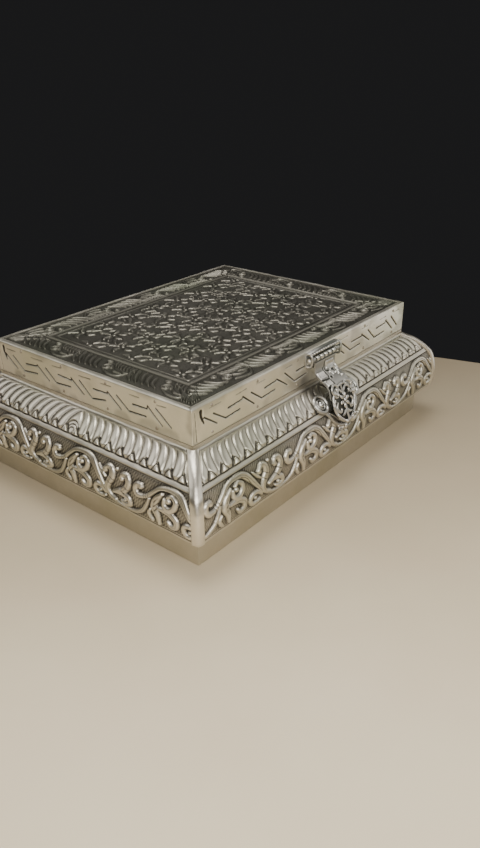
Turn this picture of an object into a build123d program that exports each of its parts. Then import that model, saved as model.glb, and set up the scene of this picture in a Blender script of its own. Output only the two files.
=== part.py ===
"""Vanity trinket box: a wooden box with bulged sides, clad in thin embossed white metal.

The box stands on a recessed plinth. Its hinged lid overhangs nothing: the lid's faces are flush
with the box's rim, and below the rim the sides swell out over a mitred wooden moulding.
A hasp hangs from a knuckle on the lid's front and rests on a low staple of the body plate.

Millimetres, +Z up. The origin is the middle of the box's underside, and the clasp faces -Y.
"out" is a distance outward from the lid's side faces, which is negative inside them.
"""

import os
from math import atan2, cos, hypot, sin

from build123d import *

# Overall sizes
LID_X = 203.0
LID_Y = 152.0
LID_THICK = 19.0
TOTAL_HEIGHT = 78.0
SHEET = 0.8  # metal cladding
HEAD_TAPER = 40  # degrees, on the heads of nails and screws

# Box
FELT = 1.0
PLINTH_TOP = 16.0
PLINTH_OUT = 9.5
RAIL_WIDE = 12.0
WALL = 9.0
LINING = 1.2
FLOOR_PAD = 1.5
LINING_DROP = 1.2  # from the rim's top down to the lining's top edge
LIP = 2.0  # the rim's upright lip
SECTION_BACK = 6.0  # how far the moulding's outline runs in behind the lid's face

# Side moulding: points of its outline as (out, height)
LIP_FOOT = (0.0, TOTAL_HEIGHT - LID_THICK - LIP)
GROOVE = (2.2, 55.3)
FLUTE_CROWN = (7.55, 52.1)
BAND_TOP = (13.1, 46.6)
BAND_FOOT = (15.5, 43.3)
WIDEST = (18.1, 29.5)
FRIEZE_LOW = (17.2, 21.0)
UNDERCURVE = (15.7, 17.6)
FRIEZE_FOOT = (12.5, PLINTH_TOP)

# Corner straps
STRAP_LEG = 4.6
STRAP_THICK = 0.7

# Lid
LID_FLANGE = 3.0
FLANGE_ROUND = 0.7
LID_PAD = 1.5
LID_PAD_GAP = 0.7  # between the lid's pad and the box's lining
NAIL_HEAD = 0.9
NAIL_SHANK = 0.4
NAIL_LENGTH = 5.0
NAIL_PITCH = 35.0
NAIL_FROM_EDGE = 2.4
NAILS_LONG = 6
NAILS_SHORT = 4

# Butt hinges
HINGE_AT = 62.0
HINGE_LONG = 30.0
HINGE_OUT = 2.3
KNUCKLE = 2.0
HINGE_PIN = 0.8
PIN_FIT = 0.05
KNUCKLES = 5
KNUCKLE_GAP = 0.3
LEAF_DEEP = 9.5
MORTISE_GAP = 0.2
SCREW_PITCH = 10.0
SCREW_HEAD = 1.7
SCREW_SHANK = 0.8
SCREW_LONG = 8.0
SCREW_IN = 5.5  # the screws' row, inward from the lid's back face

# Clasp
CLASP_X = 4.5
BRACKET_WIDE = 30.0
BRACKET_LOW = 68.4
BRACKET_LEDGE = 2.9
CHEEK = 1.2
CHEEK_OUT = 4.7
CLASP_PIN = 0.7
CLASP_AXIS = (3.0, 73.2)  # (out, height)
BARREL = 1.5
BEAD = 1.9
BEADS = 5
HASP_WIDE = 20.0
HASP_SHEET = 0.9
HASP_UPRIGHT = (3.4, 64.5)  # where the leaf starts to lean outward
HASP_BEND_Z = 58.0
HASP_TAIL_Z = 51.5
MEDALLION_TOP = (13.2, 58.4)
MEDALLION_FOOT = (20.8, 37.2)
MEDALLION_WIDE = 22.0
MEDALLION_THICK = 1.0
MEDALLION_RIM = 2.6
PLATE_THICK = 0.6
EYELET_OFF = 15.5
EYELET_Z = 49.4
EYELET = 4.6
PLATE_LOW = 36.5
PLATE_HIGH = 54.0
PLATE_HOLE = (9.0, 6.5)
PLATE_OVAL = (14.5, 9.5)
PLATE_MIDDLE = 45.5
STAPLE_WIDE = 1.6
PLATE_TONGUE = 6.4  # behind the staple
STAPLE_LOW = 40.5
STAPLE_HIGH = 48.0
STAPLE_GAP = 0.35
DOME = 2.4
DOME_HIGH = 1.2

# Derived
HALF_X = LID_X / 2
HALF_Y = LID_Y / 2
RIM_Z = TOTAL_HEIGHT - LID_THICK
WALL_TOP = RIM_Z - SHEET
WALL_IN = -SHEET - WALL
LINING_IN = WALL_IN - LINING
PIN_BORE = HINGE_PIN + PIN_FIT
RAIL_OUT = PLINTH_OUT - SHEET
RAIL_IN = RAIL_OUT - RAIL_WIDE
REACH = 30.0  # farther out than anything on the sides
HINGE_Y = HALF_Y + HINGE_OUT
HINGE_SPOTS = (-HINGE_AT, HINGE_AT)
KNUCKLE_LONG = HINGE_LONG / KNUCKLES
MORTISE_IN = HALF_Y - LEAF_DEEP - MORTISE_GAP
MORTISE_MIDDLE = (MORTISE_IN + HALF_Y) / 2
MORTISE_WIDE = HINGE_LONG + 2 * MORTISE_GAP
CHEEK_AT = (BRACKET_WIDE - CHEEK) / 2
ACROSS = Plane(origin=(CLASP_X, -HALF_Y, 0), x_dir=(0, -1, 0), z_dir=(-1, 0, 0))  # clasp's side view
SIDES = {"front": (0, -1), "right": (1, 0), "back": (0, 1), "left": (-1, 0)}
CORNERS = {"front": "front_left", "right": "front_right", "back": "back_right", "left": "back_left"}

os.makedirs("parts", exist_ok=True)


def half_along(side):
    """Half the lid's length along one side."""
    return HALF_X if side in ("front", "back") else HALF_Y


def side_plane(side, shift=0.0):
    """Plane across a side: local X points outward from the lid's face and local Y up."""
    nx, ny = SIDES[side]
    along = Vector(ny, -nx, 0)
    origin = Vector(nx * HALF_X, ny * HALF_Y, 0) + along * shift
    return Plane(origin=origin, x_dir=(nx, ny, 0), z_dir=along)


def front_plane(out):
    """Plane facing the clasp's front, its origin on the clasp's centre line at height zero."""
    return Plane(origin=(CLASP_X, -HALF_Y - out, 0), x_dir=(1, 0, 0), z_dir=(0, -1, 0))


def keep_mitre(side):
    """Cuts the part under way to the mitred stretch that belongs to one side."""
    nx, ny = SIDES[side]
    half = half_along(side)
    far, near = half + REACH, half - REACH
    shape = [(REACH, far), (REACH, -far), (-REACH, -near), (-REACH, near)]
    corners = [
        (nx * (HALF_X + out) + ny * along, ny * (HALF_Y + out) - nx * along) for out, along in shape
    ]
    with BuildSketch(Plane.XY) as trapezoid:
        with BuildLine():
            Polyline(*corners, close=True)
        make_face()
    extrude(trapezoid.sketch, amount=TOTAL_HEIGHT, mode=Mode.INTERSECT)


def bar_section(out_from, out_to, low, high):
    """A rectangle in a side's plane, between two distances out and two heights."""
    with Locations(((out_from + out_to) / 2, (low + high) / 2)):
        Rectangle(out_to - out_from, high - low)


def bulge_section():
    """The side moulding's full outline, cladding included, run in behind the lid's face."""
    with BuildSketch() as section:
        with BuildLine():
            Polyline((-SECTION_BACK, LIP_FOOT[1]), LIP_FOOT, GROOVE)
            ThreePointArc(GROOVE, FLUTE_CROWN, BAND_TOP)
            Line(BAND_TOP, BAND_FOOT)
            ThreePointArc(BAND_FOOT, WIDEST, FRIEZE_LOW)
            ThreePointArc(FRIEZE_LOW, UNDERCURVE, FRIEZE_FOOT)
            Polyline(
                FRIEZE_FOOT,
                (-SECTION_BACK, PLINTH_TOP),
                (-SECTION_BACK, LIP_FOOT[1]),
            )
        make_face()
    return section.sketch


def keep_outside(out, low=0.0, high=TOTAL_HEIGHT):
    """Cuts the sketch under way to what lies beyond a distance out, between two heights."""
    with Locations((out + REACH / 2, (low + high) / 2)):
        Rectangle(REACH, high - low, mode=Mode.INTERSECT)


def frame_sketch(out_from, out_to):
    """A rectangular ring between two distances out from the lid's faces."""
    Rectangle(LID_X + 2 * out_to, LID_Y + 2 * out_to)
    Rectangle(LID_X + 2 * out_from, LID_Y + 2 * out_from, mode=Mode.SUBTRACT)


def save(part, name):
    """Labels a finished part and writes it."""
    part.label = name
    export_step(part, f"parts/{name}.step")


# ---------------------------------------------------------------- base and plinth
with BuildPart() as base_felt:
    with BuildSketch(Plane.XY):
        Rectangle(LID_X + 2 * (PLINTH_OUT - SHEET), LID_Y + 2 * (PLINTH_OUT - SHEET))
    extrude(amount=FELT)
save(base_felt.part, "base_felt")

with BuildPart() as base_board:
    with BuildSketch(Plane.XY.offset(FELT)):
        Rectangle(LID_X + 2 * RAIL_IN, LID_Y + 2 * RAIL_IN)
    extrude(amount=PLINTH_TOP - FELT)
save(base_board.part, "base_board")

with BuildPart() as plinth_band:
    with BuildSketch(Plane.XY.offset(SHEET / 2)):
        frame_sketch(RAIL_OUT, PLINTH_OUT)
    extrude(amount=PLINTH_TOP - SHEET / 2)
save(plinth_band.part, "plinth_band")

# ---------------------------------------------------------------- mitred pieces of each side
for side in SIDES:
    length = half_along(side) + REACH

    with BuildPart() as plinth_rail:
        with BuildSketch(side_plane(side)):
            bar_section(RAIL_IN, RAIL_OUT, FELT, PLINTH_TOP)
        extrude(amount=length, both=True)
        keep_mitre(side)
    save(plinth_rail.part, f"plinth_rail_{side}")

    with BuildPart() as wall:
        with BuildSketch(side_plane(side)):
            bar_section(WALL_IN, -SHEET, PLINTH_TOP, WALL_TOP)
        extrude(amount=length, both=True)
        keep_mitre(side)
    save(wall.part, f"wall_{side}")

    with BuildPart() as moulding:
        with BuildSketch(side_plane(side)):
            offset(bulge_section(), amount=-SHEET, kind=Kind.INTERSECTION)
            keep_outside(-SHEET)
        extrude(amount=length, both=True)
        keep_mitre(side)
    save(moulding.part, f"moulding_{side}")

    with BuildPart() as side_sheet:
        with BuildSketch(side_plane(side)):
            add(bulge_section())
            offset(bulge_section(), amount=-SHEET, kind=Kind.INTERSECTION, mode=Mode.SUBTRACT)
            keep_outside(-SHEET)
        extrude(amount=length, both=True)
        keep_mitre(side)
    save(side_sheet.part, f"side_sheet_{side}")

    with BuildPart() as lining:
        with BuildSketch(side_plane(side)):
            bar_section(LINING_IN, WALL_IN, PLINTH_TOP + FLOOR_PAD, RIM_Z - LINING_DROP)
        extrude(amount=length, both=True)
        keep_mitre(side)
    save(lining.part, f"lining_{side}")

    # The strap is folded over the corner at the far end of this side, STRAP_LEG wide on each face.
    nx, ny = SIDES[side]
    mx, my = ny, -nx
    corner = Vector((nx + mx) * HALF_X, (ny + my) * HALF_Y, 0)
    diagonal = Plane(origin=corner, z_dir=(nx - mx, ny - my, 0))
    strap_edge = Plane(origin=corner - Vector(mx, my, 0) * STRAP_LEG, z_dir=(nx - mx, ny - my, 0))
    with BuildPart() as strap:
        with BuildSketch(side_plane(side, half_along(side) - STRAP_LEG)):
            offset(bulge_section(), amount=STRAP_THICK, kind=Kind.INTERSECTION)
            add(bulge_section(), mode=Mode.SUBTRACT)
            keep_outside(0.0, PLINTH_TOP, LIP_FOOT[1])
        extrude(amount=REACH)
        split(bisect_by=diagonal, keep=Keep.TOP)
        split(bisect_by=strap_edge, keep=Keep.BOTTOM)
        mirror(about=diagonal)
    save(strap.part, f"corner_strap_{CORNERS[side]}")

# ---------------------------------------------------------------- rim and floor lining
with BuildPart() as rim_sheet:
    with BuildSketch(Plane.XY.offset(WALL_TOP)):
        frame_sketch(WALL_IN, 0)
        with Locations(*[(x, MORTISE_MIDDLE) for x in HINGE_SPOTS]):
            Rectangle(MORTISE_WIDE, HALF_Y - MORTISE_IN, mode=Mode.SUBTRACT)
    extrude(amount=SHEET)
    with BuildSketch(Plane.XY.offset(LIP_FOOT[1])):
        frame_sketch(-SHEET, 0)
    extrude(amount=WALL_TOP - LIP_FOOT[1])
save(rim_sheet.part, "rim_sheet")

with BuildPart() as lining_floor:
    with BuildSketch(Plane.XY.offset(PLINTH_TOP)):
        Rectangle(LID_X + 2 * WALL_IN, LID_Y + 2 * WALL_IN)
    extrude(amount=FLOOR_PAD)
save(lining_floor.part, "lining_floor")

# ---------------------------------------------------------------- lid
with BuildPart() as lid_board:
    with BuildSketch(Plane.XY.offset(RIM_Z)):
        Rectangle(LID_X - 2 * SHEET, LID_Y - 2 * SHEET)
    extrude(amount=LID_THICK - SHEET)
    with BuildSketch(Plane.XY.offset(RIM_Z)):
        with Locations(*[(x, MORTISE_MIDDLE) for x in HINGE_SPOTS]):
            Rectangle(MORTISE_WIDE, HALF_Y - MORTISE_IN)
    extrude(amount=SHEET, mode=Mode.SUBTRACT)
save(lid_board.part, "lid_board")

with BuildPart() as lid_top_sheet:
    with BuildSketch(Plane.XY.offset(TOTAL_HEIGHT - SHEET)):
        Rectangle(LID_X - 2 * LID_FLANGE, LID_Y - 2 * LID_FLANGE)
    extrude(amount=SHEET)
save(lid_top_sheet.part, "lid_top_sheet")

for side in SIDES:
    with BuildPart() as lid_side:
        with BuildSketch(side_plane(side)):
            bar_section(-SHEET, 0, RIM_Z, TOTAL_HEIGHT)
            bar_section(-LID_FLANGE, 0, TOTAL_HEIGHT - SHEET, TOTAL_HEIGHT)
            fillet(vertices().group_by(Axis.Y)[-1].sort_by(Axis.X)[-1], radius=FLANGE_ROUND)
        extrude(amount=half_along(side) + REACH, both=True)
        keep_mitre(side)
        if side == "back":
            with BuildSketch(Plane.XY.offset(RIM_Z)):
                with Locations(*[(x, HALF_Y) for x in HINGE_SPOTS]):
                    Rectangle(MORTISE_WIDE, 2 * LID_FLANGE)
            extrude(amount=SHEET, mode=Mode.SUBTRACT)
    save(lid_side.part, f"lid_side_{side}")

with BuildPart() as lid_pad:
    with BuildSketch(Plane.XY.offset(RIM_Z - LID_PAD)):
        Rectangle(LID_X + 2 * (LINING_IN - LID_PAD_GAP), LID_Y + 2 * (LINING_IN - LID_PAD_GAP))
    extrude(amount=LID_PAD)
save(lid_pad.part, "lid_pad")

with BuildPart() as lid_nails:
    for side in SIDES:
        count = NAILS_LONG if side in ("front", "back") else NAILS_SHORT
        face = side_plane(side)
        rows = [TOTAL_HEIGHT - NAIL_FROM_EDGE]
        # The hinge screws take the place of the back's lower row.
        if side != "back":
            rows.append(RIM_Z + NAIL_FROM_EDGE)
        for row in rows:
            for i in range(count):
                along = (i - (count - 1) / 2) * NAIL_PITCH
                head = face.from_local_coords((0, row, along))
                if side == "front" and abs(head.X - CLASP_X) < BRACKET_WIDE / 2 + NAIL_HEAD:
                    continue
                with BuildSketch(Plane(origin=head, z_dir=face.x_dir)):
                    Circle(NAIL_HEAD)
                extrude(amount=NAIL_SHANK, taper=HEAD_TAPER)
                with BuildSketch(Plane(origin=head, z_dir=face.x_dir)):
                    Circle(NAIL_SHANK)
                extrude(amount=-NAIL_LENGTH)
save(lid_nails.part, "lid_nails")

# ---------------------------------------------------------------- butt hinges
def hinge_leaf(spot_x, low, on_box):
    """One leaf with its knuckles: the box has the odd knuckles and the lid the even ones."""
    mine = [k for k in range(KNUCKLES) if (k % 2 == 0) == on_box]
    centres = [spot_x - HINGE_LONG / 2 + (k + 0.5) * KNUCKLE_LONG for k in mine]
    with BuildPart() as leaf:
        with BuildSketch(Plane.XY.offset(low)):
            with Locations((spot_x, HALF_Y - LEAF_DEEP / 2)):
                Rectangle(HINGE_LONG, LEAF_DEEP)
            with Locations(*[(x, HALF_Y) for x in centres]):
                Rectangle(KNUCKLE_LONG - KNUCKLE_GAP, 2 * (HINGE_OUT - PIN_BORE - PIN_FIT))
        extrude(amount=SHEET)
        for x in centres:
            with BuildSketch(Plane(origin=(x, HINGE_Y, RIM_Z), z_dir=(1, 0, 0))):
                Circle(KNUCKLE)
            extrude(amount=(KNUCKLE_LONG - KNUCKLE_GAP) / 2, both=True)
        with BuildSketch(Plane(origin=(spot_x, HINGE_Y, RIM_Z), z_dir=(1, 0, 0))):
            Circle(PIN_BORE)
        extrude(amount=HINGE_LONG, both=True, mode=Mode.SUBTRACT)
    return leaf.part


def hinge_screws(spot_x, face_z, into):
    """Three screws through a leaf, their heads flush with it, into the wood on one side of it."""
    with BuildPart() as screws:
        for i in (-1, 0, 1):
            at = (spot_x + i * SCREW_PITCH, HALF_Y - SCREW_IN, face_z)
            with BuildSketch(Plane(origin=at, z_dir=(0, 0, into))):
                Circle(SCREW_HEAD)
            extrude(amount=SHEET, taper=HEAD_TAPER)
            with BuildSketch(Plane(origin=at, z_dir=(0, 0, into))):
                Circle(SCREW_SHANK)
            extrude(amount=SCREW_LONG)
    return screws.part


for x in HINGE_SPOTS:
    hand = "left" if x < 0 else "right"
    save(hinge_leaf(x, WALL_TOP, True), f"hinge_leaf_box_{hand}")
    save(hinge_leaf(x, RIM_Z, False), f"hinge_leaf_lid_{hand}")
    save(hinge_screws(x, RIM_Z, -1), f"hinge_screws_box_{hand}")
    save(hinge_screws(x, RIM_Z, 1), f"hinge_screws_lid_{hand}")
    with BuildPart() as hinge_pin:
        with BuildSketch(Plane(origin=(x, HINGE_Y, RIM_Z), z_dir=(1, 0, 0))):
            Circle(HINGE_PIN)
        extrude(amount=HINGE_LONG / 2, both=True)
    save(hinge_pin.part, f"hinge_pin_{hand}")

# ---------------------------------------------------------------- clasp on the lid
with BuildPart() as clasp_bracket:
    with BuildSketch(ACROSS):
        bar_section(0, SHEET, BRACKET_LOW, TOTAL_HEIGHT - FLANGE_ROUND)
        bar_section(0, BRACKET_LEDGE, TOTAL_HEIGHT - FLANGE_ROUND - SHEET, TOTAL_HEIGHT - FLANGE_ROUND)
    extrude(amount=BRACKET_WIDE / 2, both=True)
    for shift in (-CHEEK_AT, CHEEK_AT):
        with BuildSketch(ACROSS.offset(shift)):
            bar_section(0, CHEEK_OUT, CLASP_AXIS[1] - BEAD, TOTAL_HEIGHT - FLANGE_ROUND)
        extrude(amount=CHEEK / 2, both=True)
    for shift in (-1, 1):
        ear_out = BRACKET_WIDE / 2
        ear_in = HASP_WIDE / 2 + KNUCKLE_GAP
        with BuildSketch(ACROSS.offset(shift * (ear_in + ear_out) / 2)):
            with Locations(CLASP_AXIS):
                Circle(BARREL)
        extrude(amount=(ear_out - ear_in) / 2, both=True)
    with BuildSketch(ACROSS):
        with Locations(CLASP_AXIS):
            Circle(CLASP_PIN + PIN_FIT)
    extrude(amount=BRACKET_WIDE, both=True, mode=Mode.SUBTRACT)
save(clasp_bracket.part, "clasp_bracket")

with BuildPart() as clasp_pin:
    with BuildSketch(ACROSS):
        with Locations(CLASP_AXIS):
            Circle(CLASP_PIN)
    extrude(amount=BRACKET_WIDE / 2, both=True)
save(clasp_pin.part, "clasp_pin")

# ---------------------------------------------------------------- hasp
drop = (MEDALLION_FOOT[0] - MEDALLION_TOP[0], MEDALLION_FOOT[1] - MEDALLION_TOP[1])
MEDALLION_LONG = hypot(*drop)
MEDALLION_LEAN = atan2(drop[0], -drop[1])


def behind_medallion(height, stand_off):
    """Point in the clasp's side plane, a stand-off behind the medallion's middle surface."""
    out = MEDALLION_TOP[0] + (MEDALLION_TOP[1] - height) * drop[0] / -drop[1]
    return (out - stand_off / cos(MEDALLION_LEAN), height)


with BuildPart() as hasp_leaf:
    soldered = (MEDALLION_THICK + HASP_SHEET) / 2
    with BuildSketch(ACROSS):
        with BuildLine():
            Polyline(
                (HASP_UPRIGHT[0], CLASP_AXIS[1] - BARREL / 2),
                HASP_UPRIGHT,
                behind_medallion(HASP_BEND_Z, soldered),
                behind_medallion(HASP_TAIL_Z, soldered),
            )
            offset(amount=HASP_SHEET / 2, side=Side.BOTH)
        make_face()
    extrude(amount=HASP_WIDE / 2, both=True)
    with BuildSketch(ACROSS):
        with Locations(CLASP_AXIS):
            Circle(BARREL)
    extrude(amount=HASP_WIDE / 2, both=True)
    bead_row = ACROSS.from_local_coords((*CLASP_AXIS, 0))
    with Locations(
        *[bead_row + Vector((i - (BEADS - 1) / 2) * HASP_WIDE / BEADS, 0, 0) for i in range(BEADS)]
    ):
        Sphere(BEAD)
    with BuildSketch(ACROSS):
        with Locations(CLASP_AXIS):
            Circle(CLASP_PIN + PIN_FIT)
    extrude(amount=BRACKET_WIDE, both=True, mode=Mode.SUBTRACT)
save(hasp_leaf.part, "hasp_leaf")

medallion_middle = ACROSS.from_local_coords(
    ((MEDALLION_TOP[0] + MEDALLION_FOOT[0]) / 2, (MEDALLION_TOP[1] + MEDALLION_FOOT[1]) / 2, 0)
)
MEDALLION_FACE = Plane(
    origin=medallion_middle, x_dir=(1, 0, 0), z_dir=(0, -cos(MEDALLION_LEAN), sin(MEDALLION_LEAN))
)
with BuildPart() as medallion:
    with BuildSketch(MEDALLION_FACE):
        Ellipse(MEDALLION_WIDE / 2, MEDALLION_LONG / 2)
        Ellipse(
            MEDALLION_WIDE / 2 - MEDALLION_RIM, MEDALLION_LONG / 2 - MEDALLION_RIM, mode=Mode.SUBTRACT
        )
        Rectangle(MEDALLION_RIM, MEDALLION_LONG - MEDALLION_RIM)
        Rectangle(MEDALLION_WIDE - MEDALLION_RIM, MEDALLION_RIM)
        Circle(2 * MEDALLION_RIM)
    extrude(amount=MEDALLION_THICK / 2, both=True)
save(medallion.part, "hasp_medallion")

# ---------------------------------------------------------------- body plate of the clasp
with BuildPart() as clasp_plate:
    with BuildSketch(ACROSS):
        offset(bulge_section(), amount=PLATE_THICK, kind=Kind.INTERSECTION)
        add(bulge_section(), mode=Mode.SUBTRACT)
        keep_outside(0.0, PLATE_LOW, PLATE_HIGH)
    extrude(amount=REACH, both=True)
    with BuildSketch(front_plane(0)) as outline:
        with Locations((0, PLATE_MIDDLE)):
            Ellipse(*PLATE_OVAL)
        with Locations((-EYELET_OFF, EYELET_Z), (EYELET_OFF, EYELET_Z)):
            Circle(EYELET)
        with Locations((0, PLATE_MIDDLE + PLATE_HOLE[1])):
            Ellipse(*PLATE_HOLE, mode=Mode.SUBTRACT)
        with Locations((0, (PLATE_LOW + PLATE_HIGH) / 2)):
            Rectangle(PLATE_TONGUE, PLATE_HIGH - PLATE_LOW)
    extrude(outline.sketch, amount=REACH, mode=Mode.INTERSECT)
save(clasp_plate.part, "clasp_plate")

with BuildPart() as staple:
    crown_off = MEDALLION_THICK / 2 + STAPLE_GAP
    with BuildSketch(ACROSS):
        with BuildLine():
            Polyline(
                (BAND_TOP[0] - BEAD, STAPLE_HIGH),
                behind_medallion(STAPLE_HIGH, crown_off),
                behind_medallion(STAPLE_LOW, crown_off),
                (BAND_TOP[0], STAPLE_LOW),
                close=True,
            )
        make_face()
        offset(bulge_section(), amount=PLATE_THICK, kind=Kind.INTERSECTION, mode=Mode.SUBTRACT)
    extrude(amount=STAPLE_WIDE / 2, both=True)
save(staple.part, "clasp_staple")

slope = Vector(BAND_TOP[0] - FLUTE_CROWN[0], BAND_TOP[1] - FLUTE_CROWN[1], 0).normalized()
with BuildPart() as clasp_nails:
    share = (FLUTE_CROWN[1] - EYELET_Z) / (FLUTE_CROWN[1] - BAND_TOP[1])
    nail_out = FLUTE_CROWN[0] + share * (BAND_TOP[0] - FLUTE_CROWN[0]) + PLATE_THICK
    for shift in (-EYELET_OFF, EYELET_OFF):
        seat = ACROSS.from_local_coords((nail_out, EYELET_Z + PLATE_THICK, -shift))
        with BuildSketch(Plane(origin=seat, z_dir=(0, slope.Y, slope.X))):
            Circle(DOME)
        extrude(amount=DOME_HIGH, taper=HEAD_TAPER)
        with BuildSketch(Plane(origin=seat, z_dir=(0, slope.Y, slope.X))):
            Circle(NAIL_HEAD)
        extrude(amount=-NAIL_LENGTH)
save(clasp_nails.part, "clasp_nails")
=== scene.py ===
"""Looks of the vanity trinket box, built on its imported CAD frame.

Lengths are millimetres and become metres where a mesh is made; lamps are placed in metres. "out" is a
distance outward from the lid's side faces. Each side is seen from outside: u runs to its right, and v runs
down its outline from the rim's top edge.
"""

import math

import bpy
import numpy as np
from mathutils import Matrix, Vector


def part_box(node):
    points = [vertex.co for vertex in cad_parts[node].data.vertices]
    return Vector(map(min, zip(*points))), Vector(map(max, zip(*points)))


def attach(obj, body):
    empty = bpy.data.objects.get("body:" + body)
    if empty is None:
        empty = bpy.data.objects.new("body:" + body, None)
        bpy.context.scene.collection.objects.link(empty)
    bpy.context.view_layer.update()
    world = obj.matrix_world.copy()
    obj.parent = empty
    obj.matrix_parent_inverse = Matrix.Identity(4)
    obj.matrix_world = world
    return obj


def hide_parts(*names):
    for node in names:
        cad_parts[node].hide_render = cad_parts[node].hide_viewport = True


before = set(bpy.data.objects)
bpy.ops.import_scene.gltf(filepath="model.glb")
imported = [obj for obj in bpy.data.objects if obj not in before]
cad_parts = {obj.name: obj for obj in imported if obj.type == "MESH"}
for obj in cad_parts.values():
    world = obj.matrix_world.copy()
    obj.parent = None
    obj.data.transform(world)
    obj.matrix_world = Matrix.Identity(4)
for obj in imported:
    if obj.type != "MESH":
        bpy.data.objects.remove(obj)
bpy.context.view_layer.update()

MM = 0.001
RNG = np.random.default_rng(11)


def node_box(node):
    """Lowest and highest corner of a CAD node, in millimetres."""
    low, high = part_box(node)
    return np.array(low) / MM, np.array(high) / MM


# --- sizes read from the frame
LID_FACE = node_box("lid_side_front")
HALF_X = LID_FACE[1][0]
HALF_Y = -LID_FACE[0][1]
RIM_Z = LID_FACE[0][2]
LID_TOP = LID_FACE[1][2]
PANEL_X, PANEL_Y = node_box("lid_top_sheet")[1][:2]
PLINTH_TOP = node_box("plinth_band")[1][2]
BRACKET = node_box("clasp_bracket")
PIN = node_box("clasp_pin")
LEAF = node_box("hasp_leaf")
MEDAL = node_box("hasp_medallion")
CROWN = node_box("clasp_nails")
CLASP_X = float(BRACKET[0][0] + BRACKET[1][0]) / 2
AXIS_OUT = -HALF_Y - (PIN[0][1] + PIN[1][1]) / 2
AXIS_Z = (PIN[0][2] + PIN[1][2]) / 2

# Outline of the cladding as (out, height), the same as the CAD sheet's
LIP_FOOT = (0.0, RIM_Z - 2.0)
GROOVE = (2.2, 55.3)
FLUTE_CROWN = (7.55, 52.1)
BAND_TOP = (13.1, 46.6)
BAND_FOOT = (15.5, 43.3)
WIDEST = (18.1, 29.5)
FRIEZE_LOW = (17.2, 21.0)
UNDERCURVE = (15.7, 17.6)
FRIEZE_FOOT = (12.5, PLINTH_TOP)
SHEET = 0.8

# Rows of ornament, measured down the outline
FLUTES = (4.0, 17.7)
CHEVRONS = (14.4, 18.1)
BAND = (18.6, 21.7)
FRIEZE = (22.1, 46.1)
SCROLL = 62.5  # the drawn length of one scroll
SCROLL_TALL = 1.08  # how far the scroll is stretched down the frieze

# Outward direction of each side, and what differs between the long sides and the short ones
SIDES = {"front": (0, -1), "right": (1, 0), "back": (0, 1), "left": (-1, 0)}
LONG = {"half": HALF_X, "deep": HALF_Y, "panel": (PANEL_X, PANEL_Y), "flute_high": 0.6, "flute_pitch": 5.4,
        "chevron_pitch": 8.9, "scroll": 62.5, "scroll_start": -92.0}
SHORT = {"half": HALF_Y, "deep": HALF_X, "panel": (PANEL_Y, PANEL_X), "flute_high": 0.95, "flute_pitch": 5.6,
         "chevron_pitch": 8.4, "scroll": 61.5, "scroll_start": -49.0}
LAYOUT = {"front": LONG, "back": LONG, "left": SHORT, "right": SHORT}

# Faces of one embossed sheet at most
SIDE_QUADS = 96000
LID_SIDE_QUADS = 60000
BORDER_QUADS = 46000
LEAF_QUADS = 9000


# --- curves and fields
def arc(a, b, c, count):
    """Points of the circular arc from a through b to c."""
    ax, ay, bx, by, cx, cy = *a, *b, *c
    d = 2 * (ax * (by - cy) + bx * (cy - ay) + cx * (ay - by))
    a2, b2, c2 = ax * ax + ay * ay, bx * bx + by * by, cx * cx + cy * cy
    x = (a2 * (by - cy) + b2 * (cy - ay) + c2 * (ay - by)) / d
    y = (a2 * (cx - bx) + b2 * (ax - cx) + c2 * (bx - ax)) / d
    r = math.hypot(ax - x, ay - y)
    start, end = math.atan2(ay - y, ax - x), math.atan2(cy - y, cx - x)
    turn = (end - start + math.pi) % (2 * math.pi) - math.pi
    angles = start + turn * np.linspace(0, 1, count)
    return [(x + r * math.cos(t), y + r * math.sin(t)) for t in angles]


def ellipse(a, b, wide, tall, count):
    """Points round an ellipse."""
    turns = np.linspace(0, 2 * math.pi, count, endpoint=False)
    return [(a + wide * math.cos(t), b + tall * math.sin(t)) for t in turns]


def lengths(points):
    """Distance along a polyline at each of its points."""
    steps = np.linalg.norm(np.diff(points, axis=0), axis=1)
    return np.concatenate([[0.0], np.cumsum(steps)])


def along(curve, travel, v):
    """The two coordinates of a curve at distances v, from its points and their distances."""
    return [np.interp(v, travel, curve[:, k]) for k in (0, 1)]


def spread(values, count):
    """Values spaced evenly over a curve, at count points of it."""
    return np.interp(np.linspace(0, 1, count), np.linspace(0, 1, len(values)), values)


def smooth(points, values=(1.0, 1.0), spacing=0.3):
    """A Catmull-Rom curve through points, and values eased along it, at about an even spacing."""
    p = np.array(points, float)
    w = spread(values, len(p))
    ends = np.concatenate([[2 * p[0] - p[1]], p, [2 * p[-1] - p[-2]]])
    path, widths = [], []
    for i in range(len(p) - 1):
        a, b, c, d = ends[i : i + 4]
        count = max(2, int(np.linalg.norm(c - b) / spacing) + 1)
        t = np.linspace(0, 1, count, endpoint=i == len(p) - 2)[:, None]
        bend, twist = 2 * a - 5 * b + 4 * c - d, 3 * b - a - 3 * c + d
        path.append(0.5 * (2 * b + (c - a) * t + bend * t**2 + twist * t**3))
        widths.append(w[i] + (w[i + 1] - w[i]) * t[:, 0])
    return np.concatenate(path), np.concatenate(widths)


def ease(x, low, high):
    """0 below low, 1 above high and smooth between."""
    t = np.clip((x - low) / (high - low), 0, 1)
    return t * t * (3 - 2 * t)


def between(x, low, high, rise, fall):
    """1 between low and high and 0 outside, with soft ends inside them."""
    return ease(x, low, low + rise) * (1 - ease(x, high - fall, high))


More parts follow.
